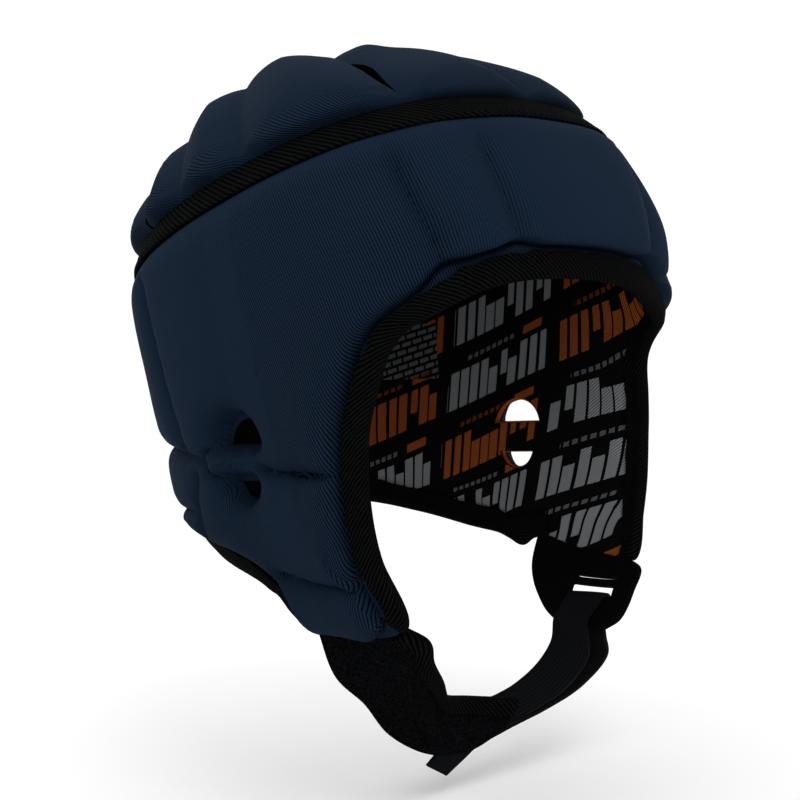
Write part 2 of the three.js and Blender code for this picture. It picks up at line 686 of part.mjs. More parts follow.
// Lower edge of a jaw at a depth, with a small gap below the band
function jawEdge(side) {
  const points = [];
  for (let i = 0; i <= TAB_COLUMNS; i += 1) {
    const row = THREE.MathUtils.lerp(TAB_REAR_ROW, TAB_FRONT_ROW, i / TAB_COLUMNS);
    const wall = wallLine(row * BAND_HALF_STEPS / (edgeRows.length - 1), side);
    points.push(wallPoint(wall, wall.length + TAB_GAP, TAB_DEPTH));
  }
  return points;
}

// Even columns across a table row from its rear edge to its front edge
function spanRow(row, columns) {
  const rear = new THREE.Vector3(row.rearX, -row.rearForward, row.rearHeight);
  const front = new THREE.Vector3(row.frontX, -row.frontForward, row.frontHeight);
  const points = [];
  for (let i = 0; i <= columns; i += 1) points.push(rear.clone().lerp(front, i / columns));
  return points;
}

// Even columns across a row that is given by turns, a height and a depth on the form
function turnRow(row, columns) {
  const points = [];
  for (let i = 0; i <= columns; i += 1) {
    const turn = THREE.MathUtils.lerp(row.rearTurn, row.frontTurn, i / columns) * DEG;
    points.push(insetPoint(turn, levelOfHeight(row.height), row.depth));
  }
  return points;
}

// Smooth middle face of a flat piece through its rows, with its outward and sideways directions
function flatFace(rows, steps) {
  const columns = rows[0].map((point, i) => (
    new THREE.CatmullRomCurve3(rows.map((row) => row[i]), false, 'centripetal').getPoints(steps)
  ));
  const face = [];
  for (let r = 0; r <= steps; r += 1) {
    const before = Math.max(r - 1, 0);
    const after = Math.min(r + 1, steps);
    face.push(columns.map((column, i) => {
      const left = columns[Math.max(i - 1, 0)];
      const right = columns[Math.min(i + 1, columns.length - 1)];
      const across = right[r].clone().sub(left[r]).normalize();
      const out = column[after].clone().sub(column[before]).cross(across).normalize();
      return { point: column[r], across, out };
    }));
  }
  return face;
}

function flatGeometry(face, thick) {
  const lift = ({ point, out }, rise) => point.clone().addScaledVector(out, rise);
  return sectionStrip(face.map((row) => [
    ...row.map((spot) => lift(spot, thick / 2)),
    ...row.map((spot) => lift(spot, -thick / 2)).reverse(),
  ]));
}

// Folded binding on the front edge of the loop tab
function tabBindingGeometry(face) {
  const inner = TAB_THICK / 2 + BINDING_GAP;
  const skin = inner + BINDING_THICK;
  const end = BINDING_GAP + BINDING_THICK;
  const stations = face.slice(TAB_BINDING_START).map((row) => {
    const { point, across, out } = row.at(-1);
    const at = (past, rise) => point.clone().addScaledVector(across, past).addScaledVector(out, rise);
    return [
      at(-TAB_BINDING_WIDTH, skin),
      at(end, skin),
      at(end, -skin),
      at(-TAB_BINDING_WIDTH, -skin),
      at(-TAB_BINDING_WIDTH, -inner),
      at(BINDING_GAP, -inner),
      at(BINDING_GAP, inner),
      at(-TAB_BINDING_WIDTH, inner),
    ];
  });
  return sectionStrip(stations);
}

// Plate below the left jaw with its slots
function slotTabGeometry() {
  const rows = [jawEdge(1), ...slotTabRows.map((row) => turnRow(row, TAB_COLUMNS))];
  const cutters = slots.map((slot) => {
    const level = levelOfHeight(slot.height);
    const out = formNormal(SLOT_TURN * DEG, level);
    const along = new THREE.Vector3(0, 0, 1).cross(out).normalize();
    const box = new THREE.BoxGeometry(SLOT_WIDTH, slot.tall, SLOT_CUT_DEPTH);
    box.applyMatrix4(new THREE.Matrix4().makeBasis(along, out.clone().cross(along), out));
    const centre = insetPoint(SLOT_TURN * DEG, level, TAB_DEPTH);
    return box.translate(centre.x, centre.y, centre.z);
  });
  return cutBy(flatGeometry(flatFace(rows, SLOT_TAB_STEPS), TAB_THICK), cutters);
}

const rightSide = walls.slice(0, BAND_HALF_STEPS);
const leftSide = walls.slice(BAND_HALF_STEPS);
const faceWalls = walls.filter((wall) => wall.row >= FACE_START_ROW);
const neckWalls = [
  ...leftSide.filter((wall) => wall.row <= NECK_END_ROW),
  ...rightSide.filter((wall) => wall.row <= NECK_END_ROW),
];

const tabFace = flatFace([jawEdge(-1), ...loopTabRows.map((row) => spanRow(row, TAB_COLUMNS))], TAB_STEPS);
const strapFace = flatFace([
  ...innerLegRows.map((row) => spanRow(row, 1)),
  ...foldRows.map((row) => turnRow(row, 1)),
  ...outerLegRows.map((row) => spanRow(row, 1)),
], STRAP_STEPS);

const knit = { color: 0x1b2839, roughness: 0.9 };
const twill = { color: 0x0b0c0e, roughness: 0.85 };
const cloth = { color: 0x0e0f11, roughness: 0.9 };
const pile = { color: 0x0a0b0d, roughness: 1 };
const webbing = { color: 0x101114, roughness: 0.8 };

const fitted = new THREE.Group();
fitted.position.z = -HEAD_TOP;
function addPiece(name, geometry, finish) {
  const mesh = new THREE.Mesh(geometry, new THREE.MeshStandardMaterial({ ...finish, metalness: 0 }));
  mesh.name = name;
  fitted.add(mesh);
}
addPiece('crown', crownGeometry(), knit);
addPiece('side_band', bandGeometry(), knit);
addPiece('band_lining', liningGeometry(), cloth);
addPiece('crown_tape', tapeGeometry(), twill);
addPiece('face_binding', bindingGeometry(faceWalls), twill);
addPiece('neck_binding', bindingGeometry(neckWalls), twill);
addPiece('loop_tab', flatGeometry(tabFace, TAB_THICK), pile);
addPiece('tab_binding', tabBindingGeometry(tabFace), twill);
addPiece('slot_tab', slotTabGeometry(), cloth);
addPiece('chin_strap', flatGeometry(strapFace, STRAP_THICK), webbing);

const helmet = new THREE.Group();
helmet.add(fitted);
export default helmet;
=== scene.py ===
import math

import bpy
import numpy as np
from mathutils import Matrix, Vector


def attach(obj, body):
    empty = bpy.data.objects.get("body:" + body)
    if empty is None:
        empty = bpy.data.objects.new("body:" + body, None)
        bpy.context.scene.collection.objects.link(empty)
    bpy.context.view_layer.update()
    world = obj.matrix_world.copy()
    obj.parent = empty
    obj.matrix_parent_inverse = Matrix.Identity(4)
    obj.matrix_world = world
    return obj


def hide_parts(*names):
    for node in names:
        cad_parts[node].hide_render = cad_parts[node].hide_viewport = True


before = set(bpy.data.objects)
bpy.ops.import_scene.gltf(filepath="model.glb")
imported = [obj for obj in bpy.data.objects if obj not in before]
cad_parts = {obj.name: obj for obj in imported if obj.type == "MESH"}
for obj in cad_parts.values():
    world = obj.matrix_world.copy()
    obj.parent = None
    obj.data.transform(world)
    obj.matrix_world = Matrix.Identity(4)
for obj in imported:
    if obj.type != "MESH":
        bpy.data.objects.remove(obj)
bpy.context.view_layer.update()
print("frame loaded with", len(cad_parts), "CAD pieces")

# camera at the photograph's angle
shot = {
    "eye": (-0.41375, -0.4012, -0.1259),
    "right": (0.6938, -0.7182, -0.0528),
    "up": (0.0438, -0.0312, 0.9986),
    "lens": 62.62,
}
bpy.ops.object.select_all(action="DESELECT")
bpy.ops.object.camera_add(location=shot["eye"])
camera = bpy.context.object
camera.data.lens = shot["lens"]
camera.data.sensor_width = 36
camera.data.clip_end = 50
right, up = Vector(shot["right"]).normalized(), Vector(shot["up"]).normalized()
back = right.cross(up).normalized()
up = back.cross(right)
camera.matrix_world = Matrix.Translation(shot["eye"]) @ Matrix((right, up, back)).transposed().to_4x4()
bpy.context.scene.camera = camera

# pale floor and soft light
studio = {"floor": -0.287, "floorSize": 9, "floorColour": (0.95, 0.95, 0.95, 1), "sky": 1.06,
          "aim": (0, 0, -0.1), "key": 8, "fill": 2}
bpy.ops.mesh.primitive_circle_add(vertices=96, radius=studio["floorSize"], fill_type="NGON",
                                  location=(0, 0, studio["floor"]))
floor = bpy.context.object
floor.name = "studioFloor"
world = bpy.data.worlds.new("studioSky")
bpy.context.scene.world = world
world.use_nodes = True
world.node_tree.nodes["Background"].inputs["Color"].default_value = (1, 1, 1, 1)
world.node_tree.nodes["Background"].inputs["Strength"].default_value = studio["sky"]
bpy.context.scene.view_settings.view_transform = "Standard"


def softbox(name, place, aim, size, power):
    bpy.ops.object.light_add(type="AREA", location=place)
    lamp = bpy.context.object
    lamp.name = name
    lamp.data.size = size
    lamp.data.energy = power
    lamp.rotation_euler = (Vector(aim) - Vector(place)).to_track_quat("-Z", "Y").to_euler()


softbox("keyLight", (-0.5, -1.2, 1.3), studio["aim"], 0.9, studio["key"])
softbox("fillLight", (-1.4, 0.4, 0.6), studio["aim"], 1.2, studio["fill"])
print("camera, floor and light set")

# head form: mm above the ear bars, turn 0 at the face and + to the wearer's left
headForm = {
    "crownTop": 164.0, "widest": 70.0, "fullness": 1.915, "padDepth": 13.0,
    "seamHeight": 103.0, "seamSlope": 0.265, "seamGap": 0.6, "seamSearch": (-30.0, 0.9), "halvings": 40,
    "tapeSink": 8.5, "edgeSink": 7.5, "liningFace": 13.95, "liningThick": 1.0,
    "edgeThin": 3.6, "edgeTaper": 16.0, "edgeDrop": 1.0, "dropReach": 6.0,
    # height, half width, front, back, front squareness, back squareness
    "sections": [
        (70, 95, 110, 111.5, 2.42, 2.36), (33, 94, 110, 103, 2.9, 2.3), (2, 91, 110, 96, 4.6, 2.2),
        (-33, 86.5, 108, 78, 4.2, 2.1), (-60, 77.5, 104, 60, 3.8, 2.05), (-90, 64, 98, 45, 3.4, 2.0),
    ],
    # fuller places on both sides: turn, height, turn spread, height spread, out
    "puffs": [(136, -30, 26, 20, 4.2), (44, 50, 14, 17, 7.2), (44, 80, 13, 14, 3.4), (55, -18, 13, 46, 6.4)],
    # slow waves of hand-filled pads: pace along x, y and z, start
    "waves": [(0.083, 0, 0.051, 0.4), (0, 0.097, -0.064, 1.3), (0.14, -0.11, 0.09, 2.2)],
}
headTop = headForm["crownTop"] - headForm["padDepth"]
domeRise = headForm["crownTop"] - headForm["widest"]
apexLevel = domeRise * math.pi / 2
# distances are not followed further than this
farOff = 60.0


def ease(t):
    t = np.clip(t, 0, 1)
    return t * t * (3 - 2 * t)


def bell(gap, spread):
    return np.exp(-((gap / spread) ** 2))


def sectionAt(height):
    rows = np.array(headForm["sections"], float)
    heights, sizes = rows[:, 0], rows[:, 1:]
    slope = np.zeros_like(sizes)
    slope[1:-1] = (sizes[2:] - sizes[:-2]) / (heights[2:] - heights[:-2])[:, None]
    slope[-1] = (sizes[-1] - sizes[-2]) / (heights[-1] - heights[-2])
    i = np.clip(np.searchsorted(-heights, -height, side="right") - 1, 0, len(rows) - 2)
    step = heights[i + 1] - heights[i]
    t = np.clip((height - heights[i]) / step, 0, 1)[..., None]
    step = step[..., None]
    return ((2 * t**3 - 3 * t**2 + 1) * sizes[i] + (t**3 - 2 * t**2 + t) * step * slope[i]
            + (3 * t**2 - 2 * t**3) * sizes[i + 1] + (t**3 - t**2) * step * slope[i + 1])


def formPoint(turn, level):
    turn, level = np.broadcast_arrays(np.asarray(turn, float), np.asarray(level, float))
    rise = np.clip(level / domeRise, 0, math.pi / 2)
    shrink = np.where(level > 0, np.cos(rise) ** (2 / headForm["fullness"]), 1)
    lift = np.where(level > 0, domeRise * np.sin(rise) ** (2 / headForm["fullness"]), level)
    height = headForm["widest"] + lift
    row = sectionAt(np.minimum(height, headForm["widest"]))
    ahead, across = np.cos(turn), np.abs(np.sin(turn))
    reach = np.where(ahead >= 0, row[..., 1], row[..., 2])
    square = np.where(ahead >= 0, row[..., 3], row[..., 4])
    radius = shrink / ((across / row[..., 0]) ** square + (np.abs(ahead) / reach) ** square) ** (1 / square)
    aside = np.degrees(np.arctan2(across, ahead))
    for puffTurn, puffHeight, turnSpread, heightSpread, out in headForm["puffs"]:
        radius = radius + out * bell(aside - puffTurn, turnSpread) * bell(height - puffHeight, heightSpread)
    return np.stack([radius * np.sin(turn), -radius * ahead, height], -1)


def unit(rays):
    return rays / np.maximum(np.linalg.norm(rays, axis=-1, keepdims=True), 1e-9)


def formNormal(turn, level):
    turnStep, levelStep = 0.01, 0.5
    level = np.minimum(level, apexLevel - 2 * levelStep)
    around = formPoint(turn + turnStep, level) - formPoint(turn - turnStep, level)
    upward = formPoint(turn, level + levelStep) - formPoint(turn, level - levelStep)
    return unit(np.cross(around, upward))


def insetPoint(turn, level, depth):
    depth = np.broadcast_to(np.asarray(depth, float), np.shape(turn))
    return formPoint(turn, level) - formNormal(turn, level) * depth[..., None]


def levelOfHeight(height):
    above = np.clip((height - headForm["widest"]) / domeRise, 0, 1)
    dome = domeRise * np.arcsin(above ** (headForm["fullness"] / 2))
    return np.where(height <= headForm["widest"], height - headForm["widest"], dome)


def seamLevel(turn, lift):
    lowest, highest = headForm["seamSearch"]
    low, high = np.full(np.shape(turn), lowest), np.full(np.shape(turn), apexLevel * highest)
    for _ in range(headForm["halvings"]):
        middle = (low + high) / 2
        spot = insetPoint(turn, middle, headForm["tapeSink"])
        below = spot[..., 2] + headForm["seamSlope"] * spot[..., 1] < headForm["seamHeight"] + lift
        low, high = np.where(below, middle, low), np.where(below, high, middle)
    return low


def smoothThrough(rows, at):
    rows = np.asarray(rows, float)
    padded = np.vstack([2 * rows[0] - rows[1], rows, 2 * rows[-1] - rows[-2]])
    i = np.clip(np.floor(at).astype(int), 0, len(rows) - 2)
    t = (at - i)[:, None]
    a, b, c, d = padded[i], padded[i + 1], padded[i + 2], padded[i + 3]
    return b + 0.5 * t * (c - a + t * (2 * a - 5 * b + 4 * c - d + t * (3 * (b - c) + d - a)))


def distanceTo(points, line, reach):
    # distance to a line and how far along it, nothing beyond reach
    gap, along = np.full(len(points), float(reach)), np.zeros(len(points))
    close = np.all((points > line.min(0) - reach) & (points < line.max(0) + reach), axis=1)
    spots, run = points[close], 0.0
    bestGap, bestAlong = gap[close], along[close]
    for a, b in zip(line[:-1], line[1:]):
        span = np.linalg.norm(b - a)
        t = np.clip(((spots - a) @ (b - a)) / max(span * span, 1e-9), 0, 1)
        here = np.linalg.norm(spots - a - t[:, None] * (b - a), axis=1)
        nearer = here < bestGap
        bestGap = np.where(nearer, here, bestGap)
        bestAlong = np.where(nearer, run + t * span, bestAlong)
        run += span
    gap[close], along[close] = bestGap, bestAlong
    return gap, along


def crease(distance, reach):
    t = np.clip(1 - distance / reach, 0, 1)
    return 1 - np.sqrt(1 - t * t)


def swell(points):
    waves = [np.sin(points @ np.array(wave[:3]) + wave[3]) for wave in headForm["waves"]]
    return sum(waves) / len(waves)


def pick(*objs):
    bpy.ops.object.select_all(action="DESELECT")
    for o in objs:
        o.select_set(True)
    bpy.context.view_layer.objects.active = objs[0]


def layCloth(name, points, weave, paints, ribs=None, innerFrom=None):
    # flat grid of cloth, each crossing then laid at its point; weave is its thread map in mm
    across, along = points.shape[0] - 1, points.shape[1] - 1
    bpy.ops.object.select_all(action="DESELECT")
    bpy.ops.mesh.primitive_grid_add(x_subdivisions=across, y_subdivisions=along, size=2)
    piece = bpy.context.object
    piece.name = piece.data.name = name
    flat = np.empty(len(piece.data.vertices) * 3)
    piece.data.vertices.foreach_get("co", flat)
    flat = (flat.reshape(-1, 3) + 1) / 2
    i, j = np.rint(flat[:, 0] * across).astype(int), np.rint(flat[:, 1] * along).astype(int)
    spots = points[i, j] / 1000
    spots[:, 2] -= headTop / 1000
    piece.data.vertices.foreach_set("co", spots.ravel())
    corner = np.empty(len(piece.data.loops), int)
    piece.data.loops.foreach_get("vertex_index", corner)
    piece.data.uv_layers[0].data.foreach_set("uv", weave[i, j][corner].ravel())
    piece.data.uv_layers[0].name = "threads"
    for paint in paints:
        piece.data.materials.append(paint)
    if innerFrom:
        inside = (j[corner].reshape(-1, 4) >= innerFrom).all(axis=1)
        piece.data.polygons.foreach_set("material_index", inside.astype(int))
    if ribs is not None:
        strength = piece.data.attributes.new("ribs", "FLOAT", "POINT")
        strength.data.foreach_set("value", ribs[i, j].astype(float))
    piece.data.update()
    bpy.ops.object.shade_smooth()
    return piece


def closeSeams(piece):
    pick(piece)
    bpy.ops.object.mode_set(mode="EDIT")
    bpy.ops.mesh.select_all(action="SELECT")
    bpy.ops.mesh.remove_doubles(threshold=0.00002)
    bpy.ops.mesh.normals_make_consistent(inside=False)
    bpy.ops.object.mode_set(mode="OBJECT")


def thicken(piece, thick, roundEdge):
    pick(piece)
    wall = piece.modifiers.new("thickness", "SOLIDIFY")
    wall.thickness = thick / 1000
    wall.offset = 0
    wall.use_quality_normals = True
    bpy.ops.object.modifier_apply(modifier=wall.name)
    if roundEdge:
        edge = piece.modifiers.new("softEdge", "BEVEL")
        edge.width = roundEdge / 1000
        edge.segments = 3
        edge.angle_limit = math.radians(50)
        bpy.ops.object.modifier_apply(modifier=edge.name)
    bpy.ops.object.shade_smooth_by_angle(angle=math.radians(55))


def cutOut(piece, cutter):
    pick(piece)
    cut = piece.modifiers.new("cut", "BOOLEAN")
    cut.operation = "DIFFERENCE"
    cut.solver = "EXACT"
    cut.material_mode = "TRANSFER"
    cut.object = cutter
    bpy.ops.object.modifier_apply(modifier=cut.name)
    bpy.data.objects.remove(cutter)


def makePunch(corners, push):
    # flat outline pushed out to a prism, both in mm
    bpy.ops.object.select_all(action="DESELECT")
    bpy.ops.mesh.primitive_circle_add(vertices=len(corners), radius=0.01, fill_type="NGON")
    punch = bpy.context.object
    for vertex, corner in zip(punch.data.vertices, corners):
        vertex.co = Vector((corner - (0, 0, headTop)) / 1000)
    bpy.ops.object.mode_set(mode="EDIT")
    bpy.ops.mesh.select_all(action="SELECT")
    bpy.ops.mesh.extrude_region_move(TRANSFORM_OT_translate={"value": Vector(push / 1000)})
    bpy.ops.mesh.select_all(action="SELECT")
    bpy.ops.mesh.normals_make_consistent(inside=False)
    bpy.ops.object.mode_set(mode="OBJECT")
    return punch


def joinUp(parts, paint):
    pick(*parts)
    bpy.ops.object.join()
    parts[0].data.materials.append(paint)
    return parts[0]


def sewPiece(name, points, weave, paint, cut):
    piece = layCloth(name, points, weave, [paint])
    closeSeams(piece)
    thicken(piece, cut["thick"], cut["roundEdge"])
    return piece


def ship(piece, node):
    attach(piece, "root")
    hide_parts(node)
    print(piece.name, "ready,", len(piece.data.polygons), "faces")


# walls of the side band run from the crown seam to its lower edge
bandCut = {
    "wallSteps": 60, "fineSteps": 600, "weaveRadius": 103.0, "weaveSweep": 260.0,
    "rightTab": (7.1, 8.84), "leftTab": (6.8, 8.95), "faceStart": 9, "neckEnd": 7.2,
    # seam turn, edge turn, edge height, bend of the wall, left jaw lift, from nape to brow
    "rows": [
        (180, 180, -26, 0, 0), (151, 150, -30, 0, 0), (134, 130, -36, 0, -1), (121, 112, -42, 0, -1),
        (112, 98, -46, 0, 0), (106, 89.5, -51.5, 0, 1.5), (101, 84.5, -59.5, 0, 11), (96, 79.5, -67, 0, 20),
        (90, 65, -68, 0.1, 14.5), (84, 49.8, -64.5, 0.5, 8.5), (79, 54, -39, 0.95, 2), (74, 55.7, -17, 1, 0),
        (69, 55.6, 2, 1, 0), (63, 53.7, 18.8, 1, 0), (55, 49.1, 36.8, 0.9, -1), (45, 41.2, 49, 0.7, -4),
        (33, 30.7, 58, 0.4, -5), (23, 21.7, 61.2, 0.2, -4), (12.5, 12.5, 62.2, 0, -2), (0, 0, 62, 0, 0),
    ],
}
lastRow = len(bandCut["rows"]) - 1


def wallLines(rows, sides):
    shape = smoothThrough(bandCut["rows"], rows)
    turn = np.radians(shape[:, 0]) * sides
    start = np.stack([turn, seamLevel(turn, -headForm["seamGap"] / 2)], 1)
    low = shape[:, 2] + np.where(sides > 0, shape[:, 4], 0)
    end = np.stack([np.radians(shape[:, 1]) * sides, levelOfHeight(low)], 1)
    middle = (start + end) / 2
    pull = middle + (np.stack([start[:, 0], end[:, 1]], 1) - middle) * shape[:, 3:4]
    t = np.linspace(0, 1, bandCut["wallSteps"] + 1)[None, :, None]
    charts = (1 - t) ** 2 * start[:, None] + 2 * t * (1 - t) * pull[:, None] + t * t * end[:, None]
    spots = formPoint(charts[..., 0], charts[..., 1])
    legs = np.linalg.norm(np.diff(spots, axis=1), axis=2)
    run = np.concatenate([np.zeros((len(rows), 1)), np.cumsum(legs, axis=1)], axis=1)
    return {"charts": charts, "run": run, "length": run[:, -1], "rows": rows, "sides": sides}


def alongWall(walls, runs):
    spots = np.empty(runs.shape + (2,))
    for n, (chart, run) in enumerate(zip(walls["charts"], walls["run"])):
        i = np.clip(np.searchsorted(run, runs[n]), 1, len(run) - 1)
        share = (runs[n] - run[i - 1]) / (run[i] - run[i - 1])
        spots[n] = chart[i - 1] + share[:, None] * (chart[i] - chart[i - 1])
    return spots[..., 0], spots[..., 1]


def evenRows(first, last, count):
    # stations at even distances along the edge and the seam together
    fine = np.linspace(first, last, bandCut["fineSteps"])
    walls = wallLines(fine, np.full(bandCut["fineSteps"], -1.0))
    tops = formPoint(walls["charts"][:, 0, 0], walls["charts"][:, 0, 1])
    ends = formPoint(walls["charts"][:, -1, 0], walls["charts"][:, -1, 1])
    legs = np.linalg.norm(np.diff(tops, axis=0), axis=1) + np.linalg.norm(np.diff(ends, axis=0), axis=1)
    run = np.concatenate([[0], np.cumsum(legs)])
    return np.interp(np.linspace(0, run[-1], count + 1), run, fine)


def bandWalls(count):
    half = evenRows(0, lastRow, count)
    rows = np.concatenate([half, half[-2::-1]])
    sides = np.concatenate([np.full(count + 1, -1.0), np.full(count, 1.0)])
    return wallLines(rows, sides)


def bandWeave(turn, level):
    # the knit was cut as a wide flat curve with its ribs upright at the middle of the brow
    sweep = bandCut["weaveSweep"]
    lean = turn * bandCut["weaveRadius"] / sweep
    return np.stack([(sweep - level) * np.sin(lean), (sweep - level) * np.cos(lean)], -1)


seamTurns = np.radians(np.linspace(-180, 180, 181))
seamLine = formPoint(seamTurns, seamLevel(seamTurns, 0))

# shader groups that several cloths share
knitShape = {"drift": 0.06, "loopTall": 0.8, "knots": 0.14, "rounded": 0.7, "valley": 1.3}
twillShape = {"drift": 0.25, "sway": 0.7, "threads": 5.3, "threadDepth": 0.15, "rounded": 0.8, "valley": 0.4}
toneShape = {"broad": 16, "fine": 900}
def startGroup(name, given, made):
    tree = bpy.data.node_groups.new(name, "ShaderNodeTree")
    for label, kind, value in given:
        socket = tree.interface.new_socket(name=label, in_out="INPUT", socket_type=kind)
        if value is not None:
            socket.default_value = value
    for label in made:
        tree.interface.new_socket(name=label, in_out="OUTPUT", socket_type="NodeSocketFloat")
    return tree, tree.nodes.new("NodeGroupInput").outputs, tree.nodes.new("NodeGroupOutput").inputs


def calc(tree, operation, *values):
    node = tree.nodes.new("ShaderNodeMath")
    node.operation = operation
    for socket, value in zip(node.inputs, values):
        if isinstance(value, (int, float)):
            socket.default_value = value
        else:
            tree.links.new(value, socket)
    return node.outputs[0]


def noiseOf(tree, place, scale, detail):
    node = tree.nodes.new("ShaderNodeTexNoise")
    node.inputs["Scale"].default_value = scale
    node.inputs["Detail"].default_value = detail
    tree.links.new(place, node.inputs["Vector"])
    return node.outputs[0]


def splitOf(tree, vector):
    node = tree.nodes.new("ShaderNodeSeparateXYZ")
    tree.links.new(vector, node.inputs[0])
    return node.outputs


def makeRibKnit():
    # columns of small v-shaped loops
    tree, given, made = startGroup("ribKnit", [("Threads", "NodeSocketVector", None),
                                               ("Spacing", "NodeSocketFloat", 1.3),
                                               ("Wander", "NodeSocketFloat", 0.5)], ["Height", "Valley"])
    u, v, _ = splitOf(tree, given["Threads"])
    drift = calc(tree, "SUBTRACT", noiseOf(tree, given["Threads"], knitShape["drift"], 1), 0.5)
    drift = calc(tree, "MULTIPLY", drift, given["Wander"])
    column = calc(tree, "DIVIDE", calc(tree, "ADD", u, drift), given["Spacing"])
    rib = calc(tree, "ABSOLUTE", calc(tree, "SINE", calc(tree, "MULTIPLY", column, math.pi)))
    slant = calc(tree, "ABSOLUTE", calc(tree, "SUBTRACT", calc(tree, "FRACT", column), 0.5))
    loop = calc(tree, "DIVIDE", v, calc(tree, "MULTIPLY", given["Spacing"], knitShape["loopTall"]))
    loop = calc(tree, "SINE", calc(tree, "MULTIPLY", calc(tree, "ADD", loop, slant), 2 * math.pi))
    knots = calc(tree, "MULTIPLY_ADD", loop, knitShape["knots"], 1 - knitShape["knots"])
    height = calc(tree, "MULTIPLY", calc(tree, "POWER", rib, knitShape["rounded"]), knots)
    tree.links.new(height, made["Height"])
    valley = calc(tree, "POWER", calc(tree, "SUBTRACT", 1.0, rib), knitShape["valley"])
    tree.links.new(valley, made["Valley"])
    return tree


def makeTwillWeave():
    # slanting floats of a tape
    tree, given, made = startGroup("twillWeave", [("Threads", "NodeSocketVector", None),
                                                  ("Spacing", "NodeSocketFloat", 1.0),
                                                  ("Slant", "NodeSocketFloat", 0.6)], ["Height", "Valley"])
    u, v, _ = splitOf(tree, given["Threads"])
    drift = noiseOf(tree, given["Threads"], twillShape["drift"], 2)
    drift = calc(tree, "MULTIPLY_ADD", drift, twillShape["sway"], -twillShape["sway"] / 2)
    cross = calc(tree, "ADD", calc(tree, "MULTIPLY", u, calc(tree, "SINE", given["Slant"])),
                 calc(tree, "MULTIPLY", v, calc(tree, "COSINE", given["Slant"])))
    cross = calc(tree, "DIVIDE", calc(tree, "ADD", cross, drift), given["Spacing"])
    rib = calc(tree, "ABSOLUTE", calc(tree, "SINE", calc(tree, "MULTIPLY", cross, math.pi)))
    along = calc(tree, "DIVIDE", calc(tree, "SUBTRACT", u, v), given["Spacing"])
    thread = calc(tree, "SINE", calc(tree, "MULTIPLY", along, twillShape["threads"]))
    thread = calc(tree, "MULTIPLY_ADD", thread, twillShape["threadDepth"], 1 - twillShape["threadDepth"])
    height = calc(tree, "MULTIPLY", calc(tree, "POWER", rib, twillShape["rounded"]), thread)
    tree.links.new(height, made["Height"])
    valley = calc(tree, "POWER", calc(tree, "SUBTRACT", 1.0, rib), twillShape["valley"])
    tree.links.new(valley, made["Valley"])
    return tree


def makeHandledTone():
    # faint patches from handling and lint
    tree, given, made = startGroup("handledTone", [("Place", "NodeSocketVector", None),
                                                   ("Amount", "NodeSocketFloat", 0.2)], ["Tone", "Fuzz"])
    broad = noiseOf(tree, given["Place"], toneShape["broad"], 3)
    fine = noiseOf(tree, given["Place"], toneShape["fine"], 2)
    patch = calc(tree, "MULTIPLY", calc(tree, "SUBTRACT", broad, 0.5), given["Amount"])
    speck = calc(tree, "MULTIPLY", calc(tree, "SUBTRACT", fine, 0.5), given["Amount"])
    tree.links.new(calc(tree, "ADD", 1.0, calc(tree, "ADD", patch, speck)), made["Tone"])
    tree.links.new(fine, made["Fuzz"])
    return tree


ribKnit, twillWeave, handledTone = makeRibKnit(), makeTwillWeave(), makeHandledTone()


def tint(red, green, blue):
    linear = [c / 255 / 12.92 if c < 10.3 else ((c / 255 + 0.055) / 1.055) ** 2.4 for c in (red, green, blue)]
    return (*linear, 1)


def place(tree, group, values):
    node = tree.nodes.new("ShaderNodeGroup")
    node.node_tree = group
    for label, value in values.items():
        if isinstance(value, (int, float)):
            node.inputs[label].default_value = value
        else:
            tree.links.new(value, node.inputs[label])
    return node.outputs


def blendColour(tree, share, first, second):
    node = tree.nodes.new("ShaderNodeMix")
    node.data_type = "RGBA"
    for socket, value in ((node.inputs[0], share), (node.inputs[6], first), (node.inputs[7], second)):
        if isinstance(value, (int, float, tuple)):
            socket.default_value = value
        else:
            tree.links.new(value, socket)
    return node.outputs[2]


def startPaint(name, look):
    paint = bpy.data.materials.new(name)
    paint.use_nodes = True
    tree = paint.node_tree
    shader = tree.nodes["Principled BSDF"]
    shader.inputs["Roughness"].default_value = look["rough"]
    shader.inputs["Specular IOR Level"].default_value = look["gloss"]
    shader.inputs["Sheen Weight"].default_value = look["sheen"]
    shader.inputs["Sheen Roughness"].default_value = 0.4
    shader.inputs["Sheen Tint"].default_value = look["top"]
    threads = tree.nodes.new("ShaderNodeUVMap")
    threads.uv_map = "threads"
    where = tree.nodes.new("ShaderNodeTexCoord")
    return paint, tree, shader, threads.outputs[0], where.outputs["Object"]


def finishPaint(tree, shader, colour, tone, height, look):
    worn = tree.nodes.new("ShaderNodeVectorMath")
    worn.operation = "SCALE"
    tree.links.new(colour, worn.inputs[0])
    tree.links.new(tone["Tone"], worn.inputs["Scale"])
    tree.links.new(worn.outputs[0], shader.inputs["Base Color"])
    bump = tree.nodes.new("ShaderNodeBump")
    bump.inputs["Strength"].default_value = look["relief"]
    bump.inputs["Distance"].default_value = look["depth"] / 1000
    tree.links.new(calc(tree, "MULTIPLY_ADD", tone["Fuzz"], look["fuzz"], height), bump.inputs["Height"])
    tree.links.new(bump.outputs[0], shader.inputs["Normal"])


